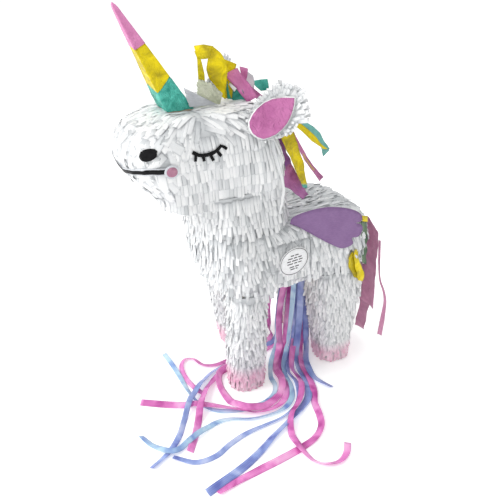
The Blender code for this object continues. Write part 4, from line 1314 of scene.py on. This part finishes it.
def make_mane(papers, tissue):
    """Strips down the neck's left side from its top: white, lilac, yellow, pink, and a teal and yellow curl."""
    paper_piece("mane_white_tissue", tissue, "white_fringe", [], (
        seen_edge(
            60, 54, 52,
            (-9.4, 294.9), (-6.9, 282.2), (-2, 266.7), (2.9, 252.9), (5.6, 239.3), (4.2, 224.1), (2, 213.3)),
        seen_edge(
            60, 53, 52,
            (-4.9, 295.2), (-2.4, 282.4), (2, 268.1), (6.4, 254.4), (9.8, 238.5), (7.8, 222.2), (4.5, 211.6)),
        dict(cols=5, bow=0.15, crumple=0.0012, tone=0.9)), wall=WHITE_WALL)
    paper_piece("mane_lilac_tissue", papers["lilac"], "lilac_paper", ["mane_lilac"], (
        seen_edge(
            40, 41, 46,
            (-3.2, 301.2), (-4, 283.9), (3.4, 259.4), (8.6, 241), (17, 237), (30.3, 225.2), (34.8, 220.3)),
        seen_edge(
            26, 35, 46,
            (8.8, 300.3), (14.1, 276.6), (21.7, 261.3), (28.2, 248.1), (33.5, 237), (38.8, 229.1), (42.1, 224.5)),
        dict(cols=10, bow=0.10, crumple=0.0022, pink=lambda p, i, j: 1.0 if j > 0.5 and i < 0.5 else 0.0)))
    paper_piece("mane_yellow_tissue", papers["yellow"], "yellow_paper", ["mane_yellow"], (
        seen_edge(40, 42, 50, (0.5, 304.6), (5.5, 292.5), (11, 280.5), (22.5, 256), (32.6, 236)),
        seen_edge(33, 37, 50, (17.2, 302.3), (23, 287), (31, 264.8), (36.6, 240.3), (38, 234.3)),
        dict(cols=8, bow=0.12, crumple=0.0014, tone=0.8, pink=lambda p, i, j: 1.0 if i > 0.95 else 0.0)))
    in_patch = lambda i, j: 0.45 < i < 0.8 and 0.3 < j < 0.66
    paper_piece("mane_pink_tissue", papers["mane_pink"], "pink_paper", ["mane_pink"], (
        seen_edge(16, 16, 16, (34, 290), (39.7, 278), (54.9, 250.8), (64.7, 237.4), (76.9, 221.5)),
        seen_edge(14, 14, 16, (37.5, 292), (44, 278.4), (57.4, 255.2), (68.3, 240.2), (81.4, 226)),
        dict(cols=8, bow=0.14, crumple=0.001, tone=0.85, pink=lambda p, i, j: 1.0 if in_patch(i, j) else 0.0)))
    lower = seen_edge(34, 34, 34, (27.8, 300.1), (40.2, 289.8), (51.7, 277.8), (59.5, 272), (64.8, 267.8))
    middle = seen_edge(31, 31, 34, (33.7, 302.3), (46.1, 292), (57.1, 281.1), (63.2, 273), (71.8, 266))
    upper = seen_edge(28, 28, 34, (36, 304.1), (52.9, 293.6), (62.2, 284.6), (68.2, 273.8), (75.1, 265.4))
    paper_piece(
        "mane_curl_tissue", papers["teal_yellow"], "teal_paper", ["mane_teal_curl"],
        (lower, middle, dict(cols=5, bow=0.10, crumple=0.001, tone=0.8, pink=lambda p, i, j: 1.0)),
        (middle, upper, dict(cols=5, bow=0.08, crumple=0.001, tone=0.8)),
        (seen_edge(30, 30, 34, (61.9, 274.3), (64.3, 266), (66.4, 258.7)),
         seen_edge(28, 28, 34, (68, 270), (72, 267), (74.5, 263.9)), dict(cols=5, crumple=0.001, tone=0.7)))


def make_tail(papers):
    """Four strips that hang behind the body, and a curl beside them: teal, yellow, and three of pink."""
    pink = papers["tail_pink"]

    def flat(y, *points):
        return [Vector((x, y, z)) * MM for x, z in points]
    paper_piece("tail_pink_wide_tissue", pink, "pink_paper", ["tail_pink_wide"], (
        flat(137, (26.8, 170.4), (29, 160), (30, 140), (29.5, 122), (30, 95), (28, 57.8)),
        flat(137, (31, 170.6), (50.8, 159.6), (53, 143.8), (52.9, 117.2), (53.7, 97.2), (54.6, 70.1), (55, 57.1)),
        dict(cols=8, bow=0.06, crumple=0.0014)))
    paper_piece("tail_pink_long_tissue", pink, "pink_paper", ["tail_pink_long"], (
        flat(139.5, (13, 160), (16, 150), (22, 110), (27, 70), (25, 40), (19, 11.9)),
        flat(139.5, (30, 162), (38, 150), (44, 110), (47, 70), (41.3, 40.5), (37.8, 16)),
        dict(cols=8, bow=0.05, crumple=0.0014, tone=0.75)))
    route = (
        (54, 138, 150), (56, 139, 118), (60, 139, 100), (68, 139, 90), (72.7, 139, 77), (71.5, 139, 52),
        (69, 139, 27))
    curl = edges_of(route, (3, 3, 2, 2.5, 4, 6, 6), Vector((0.9, 0.4, 0)))
    paper_piece(
        "tail_curl_tissue", pink, "pink_paper", ["tail_curl"], (*curl, dict(cols=4, bow=0.10, crumple=0.0004)))
    paper_piece("tail_teal_tissue", papers["grey_teal"], "teal_paper", ["tail_teal"], (
        seen_edge(60, 59, 58, (105.3, 184), (108.2, 159.6), (110.9, 130.7)),
        seen_edge(56, 55, 58, (114.5, 180.6), (116.3, 157.6), (119, 124.5)), dict(crumple=0.003, tone=0.45)))
    paper_piece(
        "tail_yellow_tissue", papers["yellow"], "yellow_paper", ["tail_yellow"],
        (seen_edge(61, 61, 59, (104.5, 191.3), (106.6, 183.5)),
         seen_edge(58, 58, 59, (113, 188.8), (114.4, 181.1)), dict(cols=4, crumple=0.001, tone=0.6)),
        (seen_edge(66, 63, 62, (96.9, 152.3), (96.2, 144.2), (99, 128), (104.5, 110.6)),
         seen_edge(64, 61, 62, (102.1, 150.3), (101.7, 141.5), (108.1, 128.1), (113.1, 118.9), (112.3, 106.4)),
         dict(crumple=0.002)),
        (seen_edge(65, 62, 60.5, (94.2, 148.5), (89.2, 142.8), (91.7, 129.2), (99.8, 115.1)),
         seen_edge(63, 60, 60.5, (101.1, 148.6), (102, 138.1), (107.4, 124.9), (112.6, 107.6)),
         dict(cols=5, crumple=0.002, tone=0.3)))


# ---------------------------------------------------------------- wings and label

WING_ROOT = Vector((53.8, 14, 0)) * MM
WING_SPLAY = math.radians(12)
WING_OUTLINE = (
    (1, 200), (4, 207), (20, 212), (40, 214), (60, 211), (76, 205), (83, 198), (82, 192), (76, 191),
    (83, 188), (85, 182), (81, 174), (73, 173), (75, 168), (73, 164), (62, 162), (47, 170), (25, 185), (9, 196),
)
WING_WALL = 0.7 * MM


def make_wings(material):
    along = Vector((math.sin(WING_SPLAY), math.cos(WING_SPLAY), 0))
    outward = Vector((math.cos(WING_SPLAY), -math.sin(WING_SPLAY), 0))
    for hand, side in SIDES:
        def place(u, v):
            warp = (0.4 + 1.0 * (u / 85) ** 2 * math.sin((v - 160) / 26) + 0.3 * math.sin(u / 17)) * MM
            return mirrored(WING_ROOT + along * u * MM + outward * warp + Vector((0, 0, v * MM)), side)
        edge = smooth_line([(*p, 0) for p in WING_OUTLINE + WING_OUTLINE[:1]], 2.6)[:-1]
        bits = Bits()
        bits.cut([p.xy for p in edge], place, 4.0)
        wing = f"{hand}_wing"
        finish_piece(bits, wing + "_sheet", material, "wing_card", [wing], wing, wall=WING_WALL)


LABEL_CENTRE = Vector((15, 160))
LABEL_RADIUS = 18
LABEL_TILT = math.radians(3)
LABEL_LEAN = 0.15
# Rows of short plain marks: height over the middle, and where each mark starts and ends
LABEL_MARKS = (
    (8.5, ((-5, -1), (0.5, 4.5))), (5.0, ((-8, -2.5), (-1, 3), (4.5, 8.5))),
    (1.5, ((-9, -4.5), (-3, 4), (5.5, 10))), (-2.0, ((-8.5, -1.5), (0, 3.5), (5, 9))),
    (-6.5, ((-5.5, 0), (1.5, 6))), (-9.5, ((-4, 1), (2.2, 4.5))))
LABEL_MARK_WIDTH, LABEL_RING_WIDTH, LABEL_RING_IN = 1.3, 0.6, 1.3
LABEL_INK_LIFT, LABEL_INK_WALL = 0.25, 0.08 * MM


def make_label(paper, ink):
    """The round label on the flap, with a thin ring and rows of plain marks instead of words."""
    def place(lift):
        def disc(u, v):
            bow = 0.25 * ((u - LABEL_CENTRE.x) ** 2 + (v - LABEL_CENTRE.y) ** 2) / LABEL_RADIUS**2
            return Vector((65.0 - bow + lift + LABEL_LEAN * (v - LABEL_CENTRE.y), u, v)) * MM
        return disc

    def turn(u, v):
        cos, sin = math.cos(LABEL_TILT), math.sin(LABEL_TILT)
        return tuple(LABEL_CENTRE + Vector((u * cos - v * sin, u * sin + v * cos)))
    label = Bits()
    label.cut(round_edge(LABEL_RADIUS, LABEL_RADIUS, LABEL_CENTRE, 48), place(0), 4.0)
    finish_piece(label, "round_label", paper, "label", ["fill_label"], "fill_flap", wall=PAPER_WALL)
    marked = Bits()
    angles = [2 * math.pi * i / 48 for i in range(49)]
    ring = [LABEL_CENTRE + Vector((math.cos(a), math.sin(a))) * (LABEL_RADIUS - LABEL_RING_IN) for a in angles]
    stroke(marked, place(LABEL_INK_LIFT), ring, LABEL_RING_WIDTH, 2.0)
    for height, marks in LABEL_MARKS:
        for start, end in marks:
            stroke(marked, place(LABEL_INK_LIFT), [turn(start, height), turn(end, height)], LABEL_MARK_WIDTH)
    finish_piece(marked, "label_marks", ink, "label", ["fill_label"], "fill_flap", wall=LABEL_INK_WALL)


# ---------------------------------------------------------------- materials on the CAD nodes that stay

def paint(material, *names):
    for name in names:
        mesh = NODES[name].data
        mesh.materials.clear()
        mesh.materials.append(material)


# Each colour as levels from 0 to 255. Ribbons: light tone, dark tone, which are painted reflection and shade of the
# satin.
# Tissues: the same, lit tone and painted shade tone, a second colour where a piece asks for it, and how deep and fine
# the creases are where they differ
SATINS = {
    "pink": ((236, 136, 206), (180, 52, 146)), "blue": ((150, 170, 226), (88, 104, 184)),
    "pale_blue": ((180, 214, 238), (112, 142, 208))}
TISSUES = {
    "yellow": ((250, 226, 2), (172, 154, 8), (92, 196, 178)),
    "teal": ((92, 196, 178), (44, 150, 132)),
    "horn_teal": ((96, 208, 190), (26, 142, 124), None, 0.9, 110),
    "teal_yellow": ((130, 200, 190), (90, 165, 155), (250, 226, 2)),
    "grey_teal": ((120, 150, 110), (60, 95, 80), None, 0.5, 120),
    "pink": ((226, 140, 192), (200, 110, 165)),
    "horn_pink": ((228, 146, 194), (206, 122, 172)),
    "mane_pink": ((212, 130, 180), (185, 105, 155), (225, 190, 110)),
    "tail_pink": ((214, 150, 182), (196, 130, 164)),
    "lilac": ((194, 122, 180), (160, 92, 148), (150, 92, 176)),
    "cream": ((240, 243, 220), (222, 228, 196)),
    "dusty": ((190, 136, 158), (176, 120, 144), None, 0.5, 200),
    "ear_pink": ((196, 116, 168), (172, 92, 146), None, 0.8, 60)}


def tissue_paper(name, light, dark, second=None, *creases):
    return crumpled_paper(f"{name}_tissue", srgb(*light), srgb(*dark), second and srgb(*second), *creases)


def main():
    set_the_camera()
    set_the_stage()
    satins = {name: satin(f"satin_{name}", srgb(*light), srgb(*dark)) for name, (light, dark) in SATINS.items()}
    make_ribbons(satins)
    make_hanging_loop(plain_card("white_string", (0.93, 0.93, 0.91), (0.85, 0.85, 0.84), 0.8))
    tissue = white_tissue()
    make_fringe(tissue)
    papers = {name: tissue_paper(name, *look) for name, look in TISSUES.items()}
    silver = plain_card("silver_paper", srgb(226, 229, 233), srgb(196, 200, 206), 0.38)
    black = vinyl_black()
    head_tree = tree_of("head_fringe")
    make_lashes_and_nostrils(black, head_tree)
    make_mouth(black, silver, papers["dusty"], head_tree)
    make_horn(papers, silver)
    make_forelock(papers, tissue)
    make_ears(tissue, papers["ear_pink"])
    make_mane(papers, tissue)
    make_tail(papers)
    make_wings(plain_card("wing_card", srgb(142, 108, 156), srgb(132, 98, 146), 0.6))
    make_label(
        plain_card("label_paper", srgb(244, 245, 245), srgb(236, 238, 239)),
        plain_card("label_ink", srgb(74, 74, 76), srgb(52, 52, 54)))
    kraft = plain_card("kraft_card", (0.60, 0.49, 0.34), (0.50, 0.40, 0.27), 0.85, 0.15)
    paint(kraft, "torso_shell", "neck_shell", "head_shell", *LEGS, "trap_door", "horn_core")
    paint(plain_card("paper_tape", (0.80, 0.76, 0.68), (0.74, 0.70, 0.62)), "door_hinge_tape")
    paint(plain_card("stick_wood", (0.66, 0.50, 0.30), (0.55, 0.40, 0.22)), "anchor_stick")


main()
